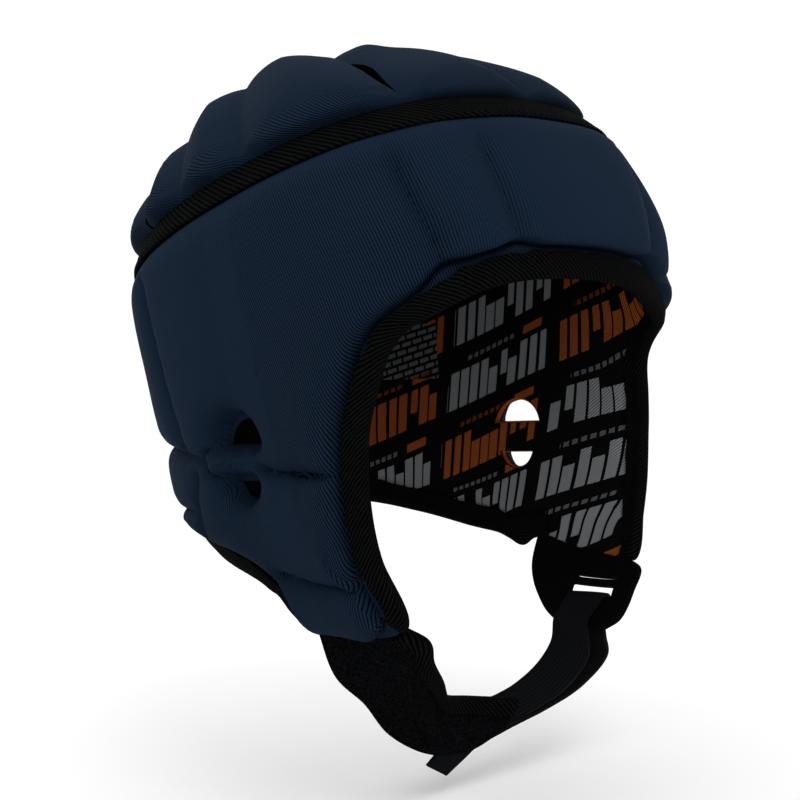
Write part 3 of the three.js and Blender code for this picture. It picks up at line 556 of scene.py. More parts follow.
def wovenPaint(name, group, look, weave, showing=None):
    paint, tree, shader, threads, where = startPaint(name, look)
    cloth = place(tree, group, {"Threads": threads, **weave})
    tone = place(tree, handledTone, {"Place": where, "Amount": look["wear"]})
    share, height = calc(tree, "MULTIPLY", cloth["Valley"], look["shade"]), cloth["Height"]
    if showing:
        ribs = tree.nodes.new("ShaderNodeAttribute")
        ribs.attribute_name = showing
        strength = ribs.outputs["Fac"]
        share = calc(tree, "SUBTRACT", share, look["meanValley"])
        share = calc(tree, "MULTIPLY_ADD", share, strength, look["flatShade"])
        # from here up the knit is also painted darker: painted shade where a pad overhangs the tape
        paintedShade = calc(tree, "MAXIMUM", calc(tree, "SUBTRACT", strength, look["paintedShadeFrom"]), 0.0)
        share = calc(tree, "MULTIPLY_ADD", paintedShade, look["paintedShade"], share)
        raised = calc(tree, "MINIMUM", strength, 1.0)
        raised = calc(tree, "MULTIPLY_ADD", raised, 1 - look["flatRelief"], look["flatRelief"])
        height = calc(tree, "MULTIPLY", height, raised)
    finishPaint(tree, shader, blendColour(tree, share, look["top"], look["low"]), tone, height, look)
    return paint


# the last two values paint shade: past that rib strength the knit is painted darker, as shade under the crown
# pads
navyLook = {"top": tint(19, 32, 48), "low": tint(1, 3, 7), "rough": 0.85, "gloss": 0.025, "sheen": 0.01,
            "shade": 1.0, "relief": 0.6, "depth": 0.35, "fuzz": 0.12, "wear": 0.14, "meanValley": 0.27,
            "flatShade": 0.14, "flatRelief": 0.2, "paintedShadeFrom": 3.0, "paintedShade": 0.7}
tapeLook = {"top": tint(16, 17, 17), "low": tint(0, 0, 0), "rough": 0.8, "gloss": 0.006, "sheen": 0.0,
            "shade": 1.0, "relief": 0.8, "depth": 0.5, "fuzz": 0.15, "wear": 0.3}
plainLook = {"top": tint(8, 9, 10), "low": tint(2, 2, 2), "rough": 0.85, "gloss": 0.01, "sheen": 0.0,
             "shade": 0.8, "relief": 0.4, "depth": 0.2, "fuzz": 0.2, "wear": 0.25}
webLook = {"top": tint(14, 15, 17), "low": tint(1, 1, 2), "rough": 0.75, "gloss": 0.03, "sheen": 0.01,
           "shade": 0.65, "relief": 0.5, "depth": 0.4, "fuzz": 0.3, "wear": 0.3}
pileLook = {"top": tint(13, 14, 16), "low": tint(1, 1, 1), "rough": 0.95, "gloss": 0.01, "sheen": 0.02,
            "shade": 2.6, "mean": 1.8, "relief": 0.9, "depth": 0.9, "fuzz": 0.5, "wear": 0.35,
            "loops": 1100, "tufts": 950, "tuftRise": 1.2}
foamLook = {"top": tint(176, 86, 38), "low": tint(128, 54, 20), "rough": 0.9, "gloss": 0.1, "sheen": 0.0,
            "relief": 0.3, "depth": 0.3, "fuzz": 0.6, "wear": 0.3, "cells": 700}
navyKnit = wovenPaint("navyKnit", ribKnit, navyLook, {"Spacing": 1.02, "Wander": 0.5}, "ribs")
blackTwill = wovenPaint("blackTwill", twillWeave, tapeLook, {"Spacing": 1.6, "Slant": 0.62})
plainBlack = wovenPaint("plainBlack", twillWeave, plainLook, {"Spacing": 0.7, "Slant": 0.78})
ribbedWeb = wovenPaint("ribbedWeb", ribKnit, webLook, {"Spacing": 1.5, "Wander": 0.3})


def makePilePaint():
    # short brushed loops standing every way
    paint, tree, shader, _, where = startPaint("brushedPile", pileLook)
    tone = place(tree, handledTone, {"Place": where, "Amount": pileLook["wear"]})
    loops = tree.nodes.new("ShaderNodeTexVoronoi")
    loops.inputs["Scale"].default_value = pileLook["loops"]
    tree.links.new(where, loops.inputs["Vector"])
    tufts = noiseOf(tree, where, pileLook["tufts"], 3)
    height = calc(tree, "MULTIPLY", tufts, pileLook["tuftRise"])
    height = calc(tree, "SUBTRACT", height, loops.outputs["Distance"])
    share = calc(tree, "MULTIPLY_ADD", tufts, -pileLook["shade"], pileLook["mean"])
    colour = blendColour(tree, share, pileLook["top"], pileLook["low"])
    finishPaint(tree, shader, colour, tone, height, pileLook)
    return paint


def makeFoamPaint():
    paint, tree, shader, _, where = startPaint("orangeFoam", foamLook)
    tone = place(tree, handledTone, {"Place": where, "Amount": foamLook["wear"]})
    cells = noiseOf(tree, where, foamLook["cells"], 2)
    colour = blendColour(tree, cells, foamLook["top"], foamLook["low"])
    finishPaint(tree, shader, colour, tone, cells, foamLook)
    return paint


brushedPile, orangeFoam = makePilePaint(), makeFoamPaint()

# printed lining: rows of plain leaning bars and dashes, measured as shares of a row, a cell or a stretch
printLook = {
    "top": tint(9, 10, 11), "low": tint(2, 2, 2), "grey": tint(138, 141, 144), "orange": tint(150, 78, 36),
    "rough": 0.85, "gloss": 0.02, "sheen": 0.0, "shade": 0.7, "inkShade": 0.75, "faint": 0.45,
    "relief": 0.4, "depth": 0.25, "fuzz": 0.15, "wear": 0.2, "weave": {"Spacing": 0.95, "Slant": 0.78},
    "tilt": 0.36, "rowHeight": 30.0, "cell": 5.6, "lean": 0.12, "stretch": 62.0, "stagger": (12.7, 40.0),
    "warmFrom": 0.62, "barStart": 0.06, "barWide": 0.66, "barMore": 0.28, "barStretch": (0.0, 0.9),
    "foot": 0.12, "footLift": 0.22, "footBelow": 0.2, "head": 0.7, "headDrop": -0.18, "headAbove": 0.78,
    "dash": 0.62, "dashRow": (0.81, 0.88), "dashWide": (0.15, 0.8), "dashStretch": (0.3, 0.75),
    "shortRow": (0.79, 0.91), "shortStretch": (0.05, 0.22),
    "lineTilt": 0.3, "lineHeight": 3.4, "lineShift": 2.7, "lineLength": 5.5,
    "lineRow": (0.2, 0.8), "lineWide": (0.08, 0.9), "patchTurn": (183, 214), "patchLevel": (-44, -17),
    "bareTurn": (-290, -228), "bareLevel": (-110, -48),
}


def makePrintPaint():
    look = printLook
    paint, tree, shader, threads, where = startPaint("printedLining", look)
    cloth = place(tree, twillWeave, {"Threads": threads, **look["weave"]})
    tone = place(tree, handledTone, {"Place": where, "Amount": look["wear"]})
    u, v, _ = splitOf(tree, threads)

    def times(first, second):
        return calc(tree, "MULTIPLY", first, second)

    def inside(value, low, high):
        return times(calc(tree, "GREATER_THAN", value, low), calc(tree, "LESS_THAN", value, high))

    def steps(value, size):
        count = calc(tree, "DIVIDE", value, size)
        return calc(tree, "FLOOR", count), calc(tree, "FRACT", count)

    def diceAt(first, second):
        stamp = tree.nodes.new("ShaderNodeCombineXYZ")
        tree.links.new(first, stamp.inputs[0])
        tree.links.new(second, stamp.inputs[1])
        dice = tree.nodes.new("ShaderNodeTexWhiteNoise")
        dice.noise_dimensions = "2D"
        tree.links.new(stamp.outputs[0], dice.inputs["Vector"])
        return dice.outputs["Value"]

    rowNumber, inRow = steps(calc(tree, "MULTIPLY_ADD", u, look["tilt"], v), look["rowHeight"])
    pace, reach = look["stagger"]
    shift = times(calc(tree, "SINE", times(rowNumber, pace)), reach)
    lean = times(inRow, look["lean"] * look["rowHeight"])
    run = calc(tree, "ADD", calc(tree, "ADD", u, shift), lean)
    groupNumber, inGroup = steps(run, look["stretch"])
    # tall bars of uneven width and height
    barNumber, inBar = steps(run, look["cell"])
    chance = diceAt(barNumber, rowNumber)
    wide = calc(tree, "MULTIPLY_ADD", chance, look["barMore"], look["barWide"])
    foot = calc(tree, "LESS_THAN", chance, look["footBelow"])
    foot = calc(tree, "MULTIPLY_ADD", foot, look["footLift"], look["foot"])
    head = calc(tree, "GREATER_THAN", chance, look["headAbove"])
    head = calc(tree, "MULTIPLY_ADD", head, look["headDrop"], look["head"])
    tall = times(inside(inRow, foot, head), inside(inBar, look["barStart"], wide))
    tall = times(tall, inside(inGroup, *look["barStretch"]))
    # small dashes and a short bar above each stretch
    inDash = steps(run, look["cell"] * look["dash"])[1]
    small = times(inside(inRow, *look["dashRow"]), inside(inDash, *look["dashWide"]))
    small = times(small, inside(inGroup, *look["dashStretch"]))
    short = times(inside(inRow, *look["shortRow"]), inside(inGroup, *look["shortStretch"]))
    # broken lines at the back
    lineNumber, inLine = steps(calc(tree, "MULTIPLY_ADD", u, look["lineTilt"], v), look["lineHeight"])
    inPiece = steps(calc(tree, "MULTIPLY_ADD", lineNumber, look["lineShift"], u), look["lineLength"])[1]
    patch = times(inside(u, *look["patchTurn"]), inside(v, *look["patchLevel"]))
    broken = times(inside(inLine, *look["lineRow"]), inside(inPiece, *look["lineWide"]))
    broken = times(broken, patch)
    elsewhere = calc(tree, "SUBTRACT", 1.0, patch)
    rows = times(calc(tree, "MAXIMUM", tall, short), elsewhere)
    small = times(small, elsewhere)
    warm = calc(tree, "GREATER_THAN", diceAt(groupNumber, rowNumber), look["warmFrom"])
    warm = calc(tree, "MAXIMUM", times(warm, elsewhere), short)
    ground = blendColour(tree, times(cloth["Valley"], look["shade"]), look["top"], look["low"])
    ink = blendColour(tree, warm, look["grey"], look["orange"])
    ink = blendColour(tree, times(cloth["Valley"], look["inkShade"]), ink, look["low"])
    share = calc(tree, "MAXIMUM", rows, times(calc(tree, "MAXIMUM", small, broken), look["faint"]))
    # no print where the near ear holes look through to it
    bare = times(inside(u, *look["bareTurn"]), inside(v, *look["bareLevel"]))
    share = times(share, calc(tree, "SUBTRACT", 1.0, bare))
    finishPaint(tree, shader, blendColour(tree, share, ground, ink), tone, cloth["Height"], look)
    return paint


printedLining = makePrintPaint()
floorPaint = bpy.data.materials.new("paleFloor")
floorPaint.use_nodes = True
floorInputs = floorPaint.node_tree.nodes["Principled BSDF"].inputs
floorInputs["Base Color"].default_value = studio["floorColour"]
floorInputs["Roughness"].default_value = 1
floor.data.materials.append(floorPaint)
print("cloths mixed")


def edgeDraw(left):
    # how far the layers draw together towards the lower edge
    return headForm["edgeThin"] * ease(1 - left / headForm["edgeTaper"])


def edgeDrop(left):
    return headForm["edgeDrop"] * ease(1 - left / headForm["dropReach"])


def valley(gap, reach, soft):
    return crease(np.hypot(gap, soft) - soft, reach)


# small folds beside the sewn channels, none where the knit is drawn taut
padFolds = {"pitch": 11.0, "off": 5.0, "spread": 4.0, "taut": 5.0}


def foldsBeside(gap, along):
    return np.sin(along * 2 * math.pi / padFolds["pitch"]) * bell(gap - padFolds["off"], padFolds["spread"])


def looseness(sink):
    return np.clip(1 - sink / padFolds["taut"], 0, 1)


# side band: knit over foam pads, its channels sewn down, ear holes cut through
sideBand = {
    "halfAround": 330, "topRows": 26, "middleRows": 96, "edgeRows": 40, "innerRows": 22, "rollMean": 9,
    "topReach": 24.0, "edgeReach": 26.0, "topSink": 7.4, "tapeBorder": 7.0, "topRoll": 15.0,
    "edgeBorder": 10.2, "sewnBorder": 1.5, "sewnRows": (7.0, 9.0), "sewnSpan": 0.5, "edgeRoll": 10.0,
    "pinch": 2.4, "browPinch": 1.0, "pinchWidth": 1.2, "browTurn": 64.0, "browSpan": 16.0,
    "overhang": 2.0, "faceTurn": 70.0, "faceSpan": 20.0, "browOverhang": 1.4,
    "cornerReach": 7.5, "cornerLift": 2.2,
    "rimSink": 12.1, "rimReach": 11.0, "rimFlat": 1.7, "rimSearch": 25.0,
    "barHeight": -0.5, "barSpread": 5.0, "barTight": 5.0,
    "pucker": 0.12, "swell": 0.4, "full": 0.7, "fullReach": 20.0,
    "grooveSteps": 40, "grooveSearch": 2.5, "grooveFrom": 9.0, "grooveSpan": 18.0,
    # sink, reach, softness, path as turn and height
    "grooves": [
        (4.6, 14, 3.4, [(26.5, 120), (24.3, 98), (22.1, 82), (19.8, 66)]),
        (5.4, 14, 2.6, [(47, 114), (41.6, 90), (38.5, 76), (35.5, 61)]),
        (5.0, 11, 1.0, [(127, 90), (119.3, 48), (113, 9), (111, 2)]),
        (4.5, 8, 1.0, [(107, -5), (109, -17), (107.5, -40)]),
        (6.5, 8, 0.5, [(80.5, -2.5), (76, -4), (64, -4.4), (58, -3)]),
        (5.0, 9, 0.8, [(102, 0), (111, 2), (130, 4.5), (180, 6)]),
        (4.0, 8, 1.0, [(112, -20), (140, -20), (180, -16)]),
        (5.5, 9, 0.6, [(80, -42), (70, -45), (60, -46.5), (49, -49.5)]),
        (5.5, 6, 0.2, [(98.5, 6), (101.5, 3.5), (102.5, 0), (101, -4), (96, -7)]),
    ],
    # ear holes: flat side height, half width, rise of the round side
    "earHoles": [(6, 13, 11), (-7, 9, -7.5)],
    "earKnots": [(1, 0), (0.86, 0.66), (0.42, 1), (0, 1)], "earMiddle": 0.4,
    "earCurve": 14, "earReach": (55, 120), "foamRing": 0.87, "liningRing": 1.04,
}

# how plainly the ribs show on the band, most on the seen side and beside the face edge
bandRibs = {
    "all": 0.35, "side": 1.6, "sideTurn": -69, "sideSpread": 28, "far": 0.3, "farTurn": -36, "farSpan": 34,
    "edge": 3.0, "edgeFrom": 9, "edgeSpread": 17, "edgeTurn": -26, "edgeSpan": 26,
    "jaw": 0.25, "jawHeight": -60, "jawSpan": 20, "sunk": 0.9, "tape": 0.2, "tapeFrom": 13, "tapeSpan": 14,
    "bowlFade": 0.85, "sewnFade": 0.5, "limits": (0.05, 3),
}


def earOutline(hole, scale):
    # half moon with its straight side towards the ear bar, as forward and height
    flatSide, half, rise = hole
    t = np.linspace(0, 1, sideBand["earCurve"] + 1)[:, None]
    a, b, c, d = np.array(sideBand["earKnots"]) * (half, rise)
    arc = (1 - t) ** 3 * a + 3 * t * (1 - t) ** 2 * b + 3 * t * t * (1 - t) * c + t**3 * d
    arc = np.vstack([arc, arc[::-1][1:] * (-1, 1)])
    middle = np.array((0, rise * sideBand["earMiddle"]))
    return (arc - middle) * scale + middle + (0, flatSide)


def rimOnForm(hole, side):
    outline = earOutline(hole, sideBand["foamRing"])
    outline = np.vstack([outline, outline[:1]])
    level = levelOfHeight(outline[:, 1])
    bare = formPoint(np.full(len(outline), side * math.pi / 2), level)
    return formPoint(side * np.arctan2(np.abs(bare[:, 0]), outline[:, 0]), level)


def grooveLine(path, side):
    rows = smoothThrough(path, np.linspace(0, len(path) - 1, sideBand["grooveSteps"]))
    return formPoint(side * np.radians(rows[:, 0]), levelOfHeight(rows[:, 1]))


def ribStrength(turn, height, seam, edge, sink):
    show = bandRibs
    ribs = show["all"] + show["side"] * bell(turn - show["sideTurn"], show["sideSpread"])
    ribs = ribs - show["far"] * ease((turn - show["farTurn"]) / show["farSpan"])
    beside = bell(np.maximum(edge - show["edgeFrom"], 0), show["edgeSpread"])
    beside = beside * ease((show["edgeTurn"] - turn) / show["edgeSpan"])
    jaw = show["jaw"] + (1 - show["jaw"]) * ease((height - show["jawHeight"]) / show["jawSpan"])
    ribs = ribs + show["edge"] * beside * jaw + show["sunk"] * (1 - looseness(sink))
    clear = ease((seam - show["tapeFrom"]) / show["tapeSpan"])
    return ribs * (show["tape"] + (1 - show["tape"]) * clear)


def bandRelief(points, turn, edgeLine):
    pad = sideBand
    flat, turn = points.reshape(-1, 3), np.degrees(turn.ravel())
    seam, _ = distanceTo(flat, seamLine, farOff)
    edge, _ = distanceTo(flat, edgeLine, farOff)
    sink = pad["topSink"] * crease(seam - pad["tapeBorder"], pad["topRoll"])
    clear = ease((seam - pad["grooveFrom"]) / pad["grooveSpan"])
    nearest = np.minimum(seam, edge)
    fold, corner, bowl = np.zeros((3, len(flat)))
    for depth, reach, soft, path in pad["grooves"]:
        for side in (-1, 1):
            gap, along = distanceTo(flat, grooveLine(path, side), reach * pad["grooveSearch"])
            sink = np.maximum(sink, depth * valley(gap, reach, soft) * clear)
            fold = fold + foldsBeside(gap, along)
            corner = np.maximum(corner, bell(gap, pad["cornerReach"]))
            nearest = np.minimum(nearest, gap)
    # the jaw tabs are sewn on without a binding
    first, last = pad["sewnRows"]
    sewn = ease((walls["rows"] - first) / pad["sewnSpan"]) * ease((last - walls["rows"]) / pad["sewnSpan"])
    sewn = np.broadcast_to(sewn[:, None], points.shape[:-1]).ravel()
    brow = ease((pad["browTurn"] - np.abs(turn)) / pad["browSpan"])
    border = pad["edgeBorder"] + (pad["sewnBorder"] - pad["edgeBorder"]) * sewn
    border = border + pad["cornerLift"] * corner * brow
    sink = np.maximum(sink, headForm["edgeSink"] * crease(edge - border, pad["edgeRoll"]))
    bar = bell(flat[:, 2] - pad["barHeight"], pad["barSpread"])
    reach = pad["rimReach"] - pad["barTight"] * bar
    for hole in pad["earHoles"]:
        for side in (-1, 1):
            gap, _ = distanceTo(flat, rimOnForm(hole, side), pad["rimSearch"])
            bowl = np.maximum(bowl, crease(gap - pad["rimFlat"], reach))
            nearest = np.minimum(nearest, gap)
    sink = np.maximum(sink, pad["rimSink"] * bowl)
    # ribs hardly show where the knit is drawn into the ear holes and at the sewn jaw ends
    ribs = ribStrength(turn, flat[:, 2], seam, edge, sink)
    ribs = ribs * (1 - bandRibs["bowlFade"] * np.sqrt(bowl)) * (1 - bandRibs["sewnFade"] * sewn)
    ribs = np.clip(ribs, *bandRibs["limits"])
    loose = looseness(sink)
    sink = sink - pad["full"] * (1 - bell(nearest, pad["fullReach"])) * loose
    sink = sink + (pad["pucker"] * fold - pad["swell"] * swell(flat)) * loose
    pinch = (pad["pinch"] + pad["browPinch"] * brow) * (1 - sewn)
    sink = sink + pinch * bell(edge - border, pad["pinchWidth"]) + edgeDrop(edge)
    lean = np.clip((edge - border) / pad["edgeRoll"], 0, 1)
    overhang = pad["overhang"] * ease((pad["faceTurn"] - np.abs(turn)) / pad["faceSpan"])
    overhang = (overhang + pad["browOverhang"] * brow * (1 - corner)) * np.sin(math.pi * lean)
    return [part.reshape(points.shape[:-1]) for part in (sink, overhang, ribs)]


def makeEarCutter(scale, paint):
    parts = []
    near, far = sideBand["earReach"]
    for hole in sideBand["earHoles"]:
        outline = earOutline(hole, scale)
        for side in (-1, 1):
            corners = np.stack([np.full(len(outline), side * near), -outline[:, 0], outline[:, 1]], 1)
            parts.append(makePunch(corners, np.array((side * (far - near), 0.0, 0.0))))
    return joinUp(parts, paint)


walls = bandWalls(sideBand["halfAround"])
edgeTurn, edgeLevel = alongWall(walls, walls["length"][:, None])
edgeLine = formPoint(edgeTurn[:, 0], edgeLevel[:, 0])


def bandRuns(length):
    top = np.linspace(0, sideBand["topReach"], sideBand["topRows"])
    edge = length - np.linspace(sideBand["edgeReach"], 0, sideBand["edgeRows"])
    middle = np.linspace(top[-1], edge[0], sideBand["middleRows"])[1:-1]
    return np.concatenate([top, middle, edge])


def makeSideBand():
    runs = np.array([bandRuns(length) for length in walls["length"]])
    turn, level = alongWall(walls, runs)
    outerWeave = bandWeave(turn, level)
    sink, overhang, ribs = bandRelief(formPoint(turn, level), turn, edgeLine)
    turn, level = alongWall(walls, runs + overhang)
    outer = insetPoint(turn, level, sink)
    # the knit is longer where it rolls over to the edge
    roll = slice(-sideBand["edgeRows"], None)
    extra = np.linalg.norm(np.diff(outer[:, roll], axis=1), axis=2) - np.diff(runs[:, roll], axis=1)
    extra = np.pad(np.cumsum(np.maximum(extra, 0), axis=1), ((0, 0), (1, 0)))
    reach = sideBand["rollMean"]
    extra = sum(np.roll(extra, step, axis=0) for step in range(-reach, reach + 1)) / (2 * reach + 1)
    pull = outerWeave[:, -1] - outerWeave[:, -sideBand["edgeRows"]]
    outerWeave[:, roll] += extra[..., None] * (pull / sideBand["edgeReach"])[:, None]
    runs = walls["length"][:, None] * np.linspace(1, 0, sideBand["innerRows"])
    turn, level = alongWall(walls, runs)
    inner = insetPoint(turn, level, headForm["padDepth"] - edgeDraw(walls["length"][:, None] - runs))
    points = np.concatenate([outer, inner, outer[:, :1]], axis=1)
    weave = np.concatenate([outerWeave, bandWeave(turn, level), outerWeave[:, :1]], axis=1)
    ribs = np.concatenate([ribs, np.zeros(inner.shape[:2]), ribs[:, :1]], axis=1)
    paints = [navyKnit, orangeFoam, plainBlack]
    piece = layCloth("side_band_pads", points, weave, paints, ribs, outer.shape[1] - 1)
    closeSeams(piece)
    return piece


band = makeSideBand()
cutOut(band, makeEarCutter(sideBand["foamRing"], plainBlack))
pick(band)
bpy.ops.object.shade_smooth_by_angle(angle=math.radians(60))
ship(band, "side_band")

# lining: thin printed cloth inside the band
liningCloth = {"halfAround": 160, "rows": 64, "flat": (0.66, 0.27), "weaveRadius": 88,
               "thick": headForm["liningThick"], "roundEdge": 0.0}


def makeLining():
    lines = bandWalls(liningCloth["halfAround"])
    runs = lines["length"][:, None] * np.linspace(0, 1, liningCloth["rows"])
    turn, level = alongWall(lines, runs)
    depth = headForm["liningFace"] + headForm["liningThick"] / 2 - edgeDraw(lines["length"][:, None] - runs)
    points = insetPoint(turn, level, depth)
    weave = np.stack([turn * liningCloth["weaveRadius"], level], -1)
    return sewPiece("band_lining_cloth", points, weave, printedLining, liningCloth)


lining = makeLining()
cutOut(lining, makeEarCutter(sideBand["liningRing"], printedLining))
ship(lining, "band_lining")

# crown: one padded cap with channels from the tape to the middle line, and vent slits
crownPads = {
    "spokes": 420, "topRows": 92, "rimRows": 34, "rimReach": 26.0, "innerRows": 20,
    "border": 5.0, "roll": 9.0, "overhang": 4.0, "overhangGap": 14.0,
    "veinSink": 3.5, "veinReach": 16.0, "veinSoft": 3.2, "spineSteps": 81, "veinSteps": 41,
    "swell": 0.4, "pucker": 0.1, "full": 2.6, "fullReach": 15.0, "riseFrom": 3.0, "riseSpan": 8.0,
    # fuller and flatter places: turn and rise of the outward direction, their spreads, out
    "puffs": [
        (136, 3, 40, 15, 4.6), (136, 42, 50, 30, 2.2), (136, 64, 55, 15, 4.0),
        (44, 8, 36, 22, 6.5), (44, 68, 40, 15, -5.0),
    ],
    "spine": (92, -110),
    # tape x, tape forward, bend x, bend forward, forward on the middle line
    "veins": [(55, 63, 42, 10, -30), (86, 8, 56, -28, -68), (88, -28, 58, -62, -86), (85, -58, 60, -72, -99)],
    # vein, start, end, width, sideways sway
    "vents": [(0, 0.02, 0.42, 4.2, 0.9), (3, 0.06, 0.26, 2.4, 0.4)], "ventCurve": 16, "ventTall": 60,
    "weaveRadius": 128, "weaveCentre": 85, "weaveAlong": -1.2,
}

# ribs on the crown show near the tape, and right beside it the knit is painted dark as shade under the pads
# that overhang the tape
crownRibs = {"all": 0.08, "rim": 1.4, "rimAt": 8, "rimSpread": 11, "paintedShade": 2.7, "paintedShadeAt": 8.5,
             "paintedShadeSpread": 3, "channelFrom": 3, "channelSpan": 14}


def planToDome(x, ahead):
    turn = np.arctan2(x, ahead)
    rim = np.linalg.norm(formPoint(turn, np.zeros(np.shape(turn)))[..., :2], axis=-1)
    ratio = np.minimum(np.hypot(x, ahead) / rim, 1)
    return turn, domeRise * np.arccos(ratio ** (headForm["fullness"] / 2))


def veinOnDome(vein, side, t):
    tapeX, tapeAhead, bendX, bendAhead, spineAhead = vein
    x = side * ((1 - t) ** 2 * tapeX + 2 * t * (1 - t) * bendX)
    return planToDome(x, (1 - t) ** 2 * tapeAhead + 2 * t * (1 - t) * bendAhead + t * t * spineAhead)


def crownRelief(points, out):
    pad = crownPads
    flat, out = points.reshape(-1, 3), out.reshape(-1, 3)
    rim, _ = distanceTo(flat, seamLine, farOff)
    steps = pad["spineSteps"]
    lines = [formPoint(*planToDome(np.zeros(steps), np.linspace(*pad["spine"], steps)))]
    for vein in pad["veins"]:
        for side in (-1, 1):
            lines.append(formPoint(*veinOnDome(vein, side, np.linspace(0, 1, pad["veinSteps"]))))
    channel, fold = np.full(len(flat), farOff), np.zeros(len(flat))
    for line in lines:
        gap, along = distanceTo(flat, line, farOff)
        channel = np.minimum(channel, gap)
        fold = fold + foldsBeside(gap, along)
    sink = headForm["tapeSink"] * crease(rim - pad["border"], pad["roll"])
    sink = np.maximum(sink, pad["veinSink"] * valley(channel, pad["veinReach"], pad["veinSoft"]))
    rise = pad["full"] * (1 - bell(np.minimum(channel, rim), pad["fullReach"]))
    facing = np.degrees(np.arctan2(np.abs(out[:, 0]), -out[:, 1]))
    steep = np.degrees(np.arcsin(np.clip(out[:, 2], -1, 1)))
    for turnAt, riseAt, turnSpread, riseSpread, amount in pad["puffs"]:
        rise = rise + amount * bell(facing - turnAt, turnSpread) * bell(steep - riseAt, riseSpread)
    sink = sink + (pad["pucker"] * fold - pad["swell"] * swell(flat)) * looseness(sink)
    sink = sink - rise * ease((rim - pad["riseFrom"]) / pad["riseSpan"])
    lean = np.clip((rim - pad["border"]) / pad["roll"], 0, 1)
    overhang = pad["overhang"] * np.sin(math.pi * lean) * ease(channel / pad["overhangGap"])
    ribs = crownRibs["all"] + crownRibs["rim"] * bell(rim - crownRibs["rimAt"], crownRibs["rimSpread"])
    # painted shade: the knit right beside the tape is made darker, as under the pads' overhang
    paintedShade = crownRibs["paintedShade"] * bell(rim - crownRibs["paintedShadeAt"], crownRibs["paintedShadeSpread"])
    ribs = ribs + paintedShade * ease((channel - crownRibs["channelFrom"]) / crownRibs["channelSpan"])
    return [part.reshape(points.shape[:-1]) for part in (sink, overhang, ribs)]


def crownWeave(points):
    # ribs run from the brow to the back, level near the tape
    turn = np.arctan2(points[..., 0], points[..., 2] - crownPads["weaveCentre"])
    return np.stack([crownPads["weaveRadius"] * turn, crownPads["weaveAlong"] * points[..., 1]], -1)


def makeCrown():
    turn = np.linspace(0, 2 * math.pi, crownPads["spokes"] + 1)[:, None]
    base = seamLevel(turn, headForm["seamGap"] / 2)
    top = apexLevel + (base + crownPads["rimReach"] - apexLevel) * np.linspace(0, 1, crownPads["topRows"])
    rim = base + crownPads["rimReach"] * np.linspace(1, 0, crownPads["rimRows"])[1:]
    level = np.concatenate([top, rim], axis=1)
    turns = np.broadcast_to(turn, level.shape)
    bare = formPoint(turns, level)
    sink, overhang, ribs = crownRelief(bare, formNormal(turns, level))
    outer = insetPoint(turns, level - overhang, sink)
    outer[:, 0] = outer[:, 0].mean(axis=0)
    under = base + (apexLevel - base) * np.linspace(0, 1, crownPads["innerRows"])
    turns = np.broadcast_to(turn, under.shape)
    inner = insetPoint(turns, under, headForm["padDepth"])
    inner[:, -1] = (0, 0, headTop)
    points = np.concatenate([outer, inner], axis=1)
    weave = np.concatenate([crownWeave(bare), crownWeave(formPoint(turns, under))], axis=1)
    ribs = np.concatenate([ribs, np.zeros(inner.shape[:2])], axis=1)
    piece = layCloth("crown_pads", points, weave, [navyKnit, plainBlack], ribs, outer.shape[1])
    closeSeams(piece)
    return piece


def makeVentCutter():
    parts = []
    t = np.linspace(-1, 1, crownPads["ventCurve"] + 1)
    for vein, start, end, width, sway in crownPads["vents"]:
        for side in (-1, 1):
            at = np.array([start, (start + end) / 2, end])
            turn, level = veinOnDome(crownPads["veins"][vein], side, at)
            first, centre, last = formPoint(turn, level)
            along = unit(last - first)
            across = unit(np.cross(formNormal(turn, level)[1], along))
            up = np.cross(along, across)
            run = t * np.linalg.norm(last - first) / 2
            bow, drift = width / 2 * (1 - t * t), side * sway * np.sin(math.pi * t)
            lower, upper = np.stack([run, drift - bow], 1), np.stack([run, drift + bow], 1)
            lens = np.concatenate([lower, upper[::-1][1:-1]])
            deep = centre - up * crownPads["ventTall"] / 2
            corners = deep + lens[:, :1] * along + lens[:, 1:] * across
            parts.append(makePunch(corners, up * crownPads["ventTall"]))
    return joinUp(parts, plainBlack)


crown = makeCrown()
cutOut(crown, makeVentCutter())
pick(crown)
bpy.ops.object.shade_smooth_by_angle(angle=math.radians(60))
ship(crown, "crown")

# twill tape over the seam, its lower edge standing further out than the upper one
seamTape = {"spokes": 420, "upper": 4.3, "lower": -10.2, "thick": 1.3, "roundEdge": 0.35, "columns": 17,
            "upperDepth": 4.6, "lowerDepth": 1.9, "bow": 0.4, "runColumn": 6,
            "foldAt": -0.78, "foldRise": 0.35, "foldWidth": 0.08}


def runAlong(points):
    return np.concatenate([[0], np.cumsum(np.linalg.norm(np.diff(points, axis=0), axis=1))])


def crossWeave(run, wide):
    return np.stack(np.broadcast_arrays(run[:, None], wide), -1)


def between(low, high, span):
    return (high + low + (high - low) * span) / 2


def makeTape():
    cut = seamTape
    turn = np.linspace(0, 2 * math.pi, cut["spokes"] + 1)[:, None]
    span = np.linspace(-1, 1, cut["columns"])
    spot = between(cut["lower"], cut["upper"], span)
    level = seamLevel(turn, 0) + spot
    depth = between(cut["lowerDepth"], cut["upperDepth"], span) - cut["bow"] * (1 - span**2)
    depth = depth - cut["foldRise"] * bell(span - cut["foldAt"], cut["foldWidth"])
    points = insetPoint(np.broadcast_to(turn, level.shape), level, depth)
    weave = crossWeave(runAlong(points[:, cut["runColumn"]]), spot)
    return sewPiece("crown_tape_twill", points, weave, blackTwill, cut)


tape = makeTape()
ship(tape, "crown_tape")

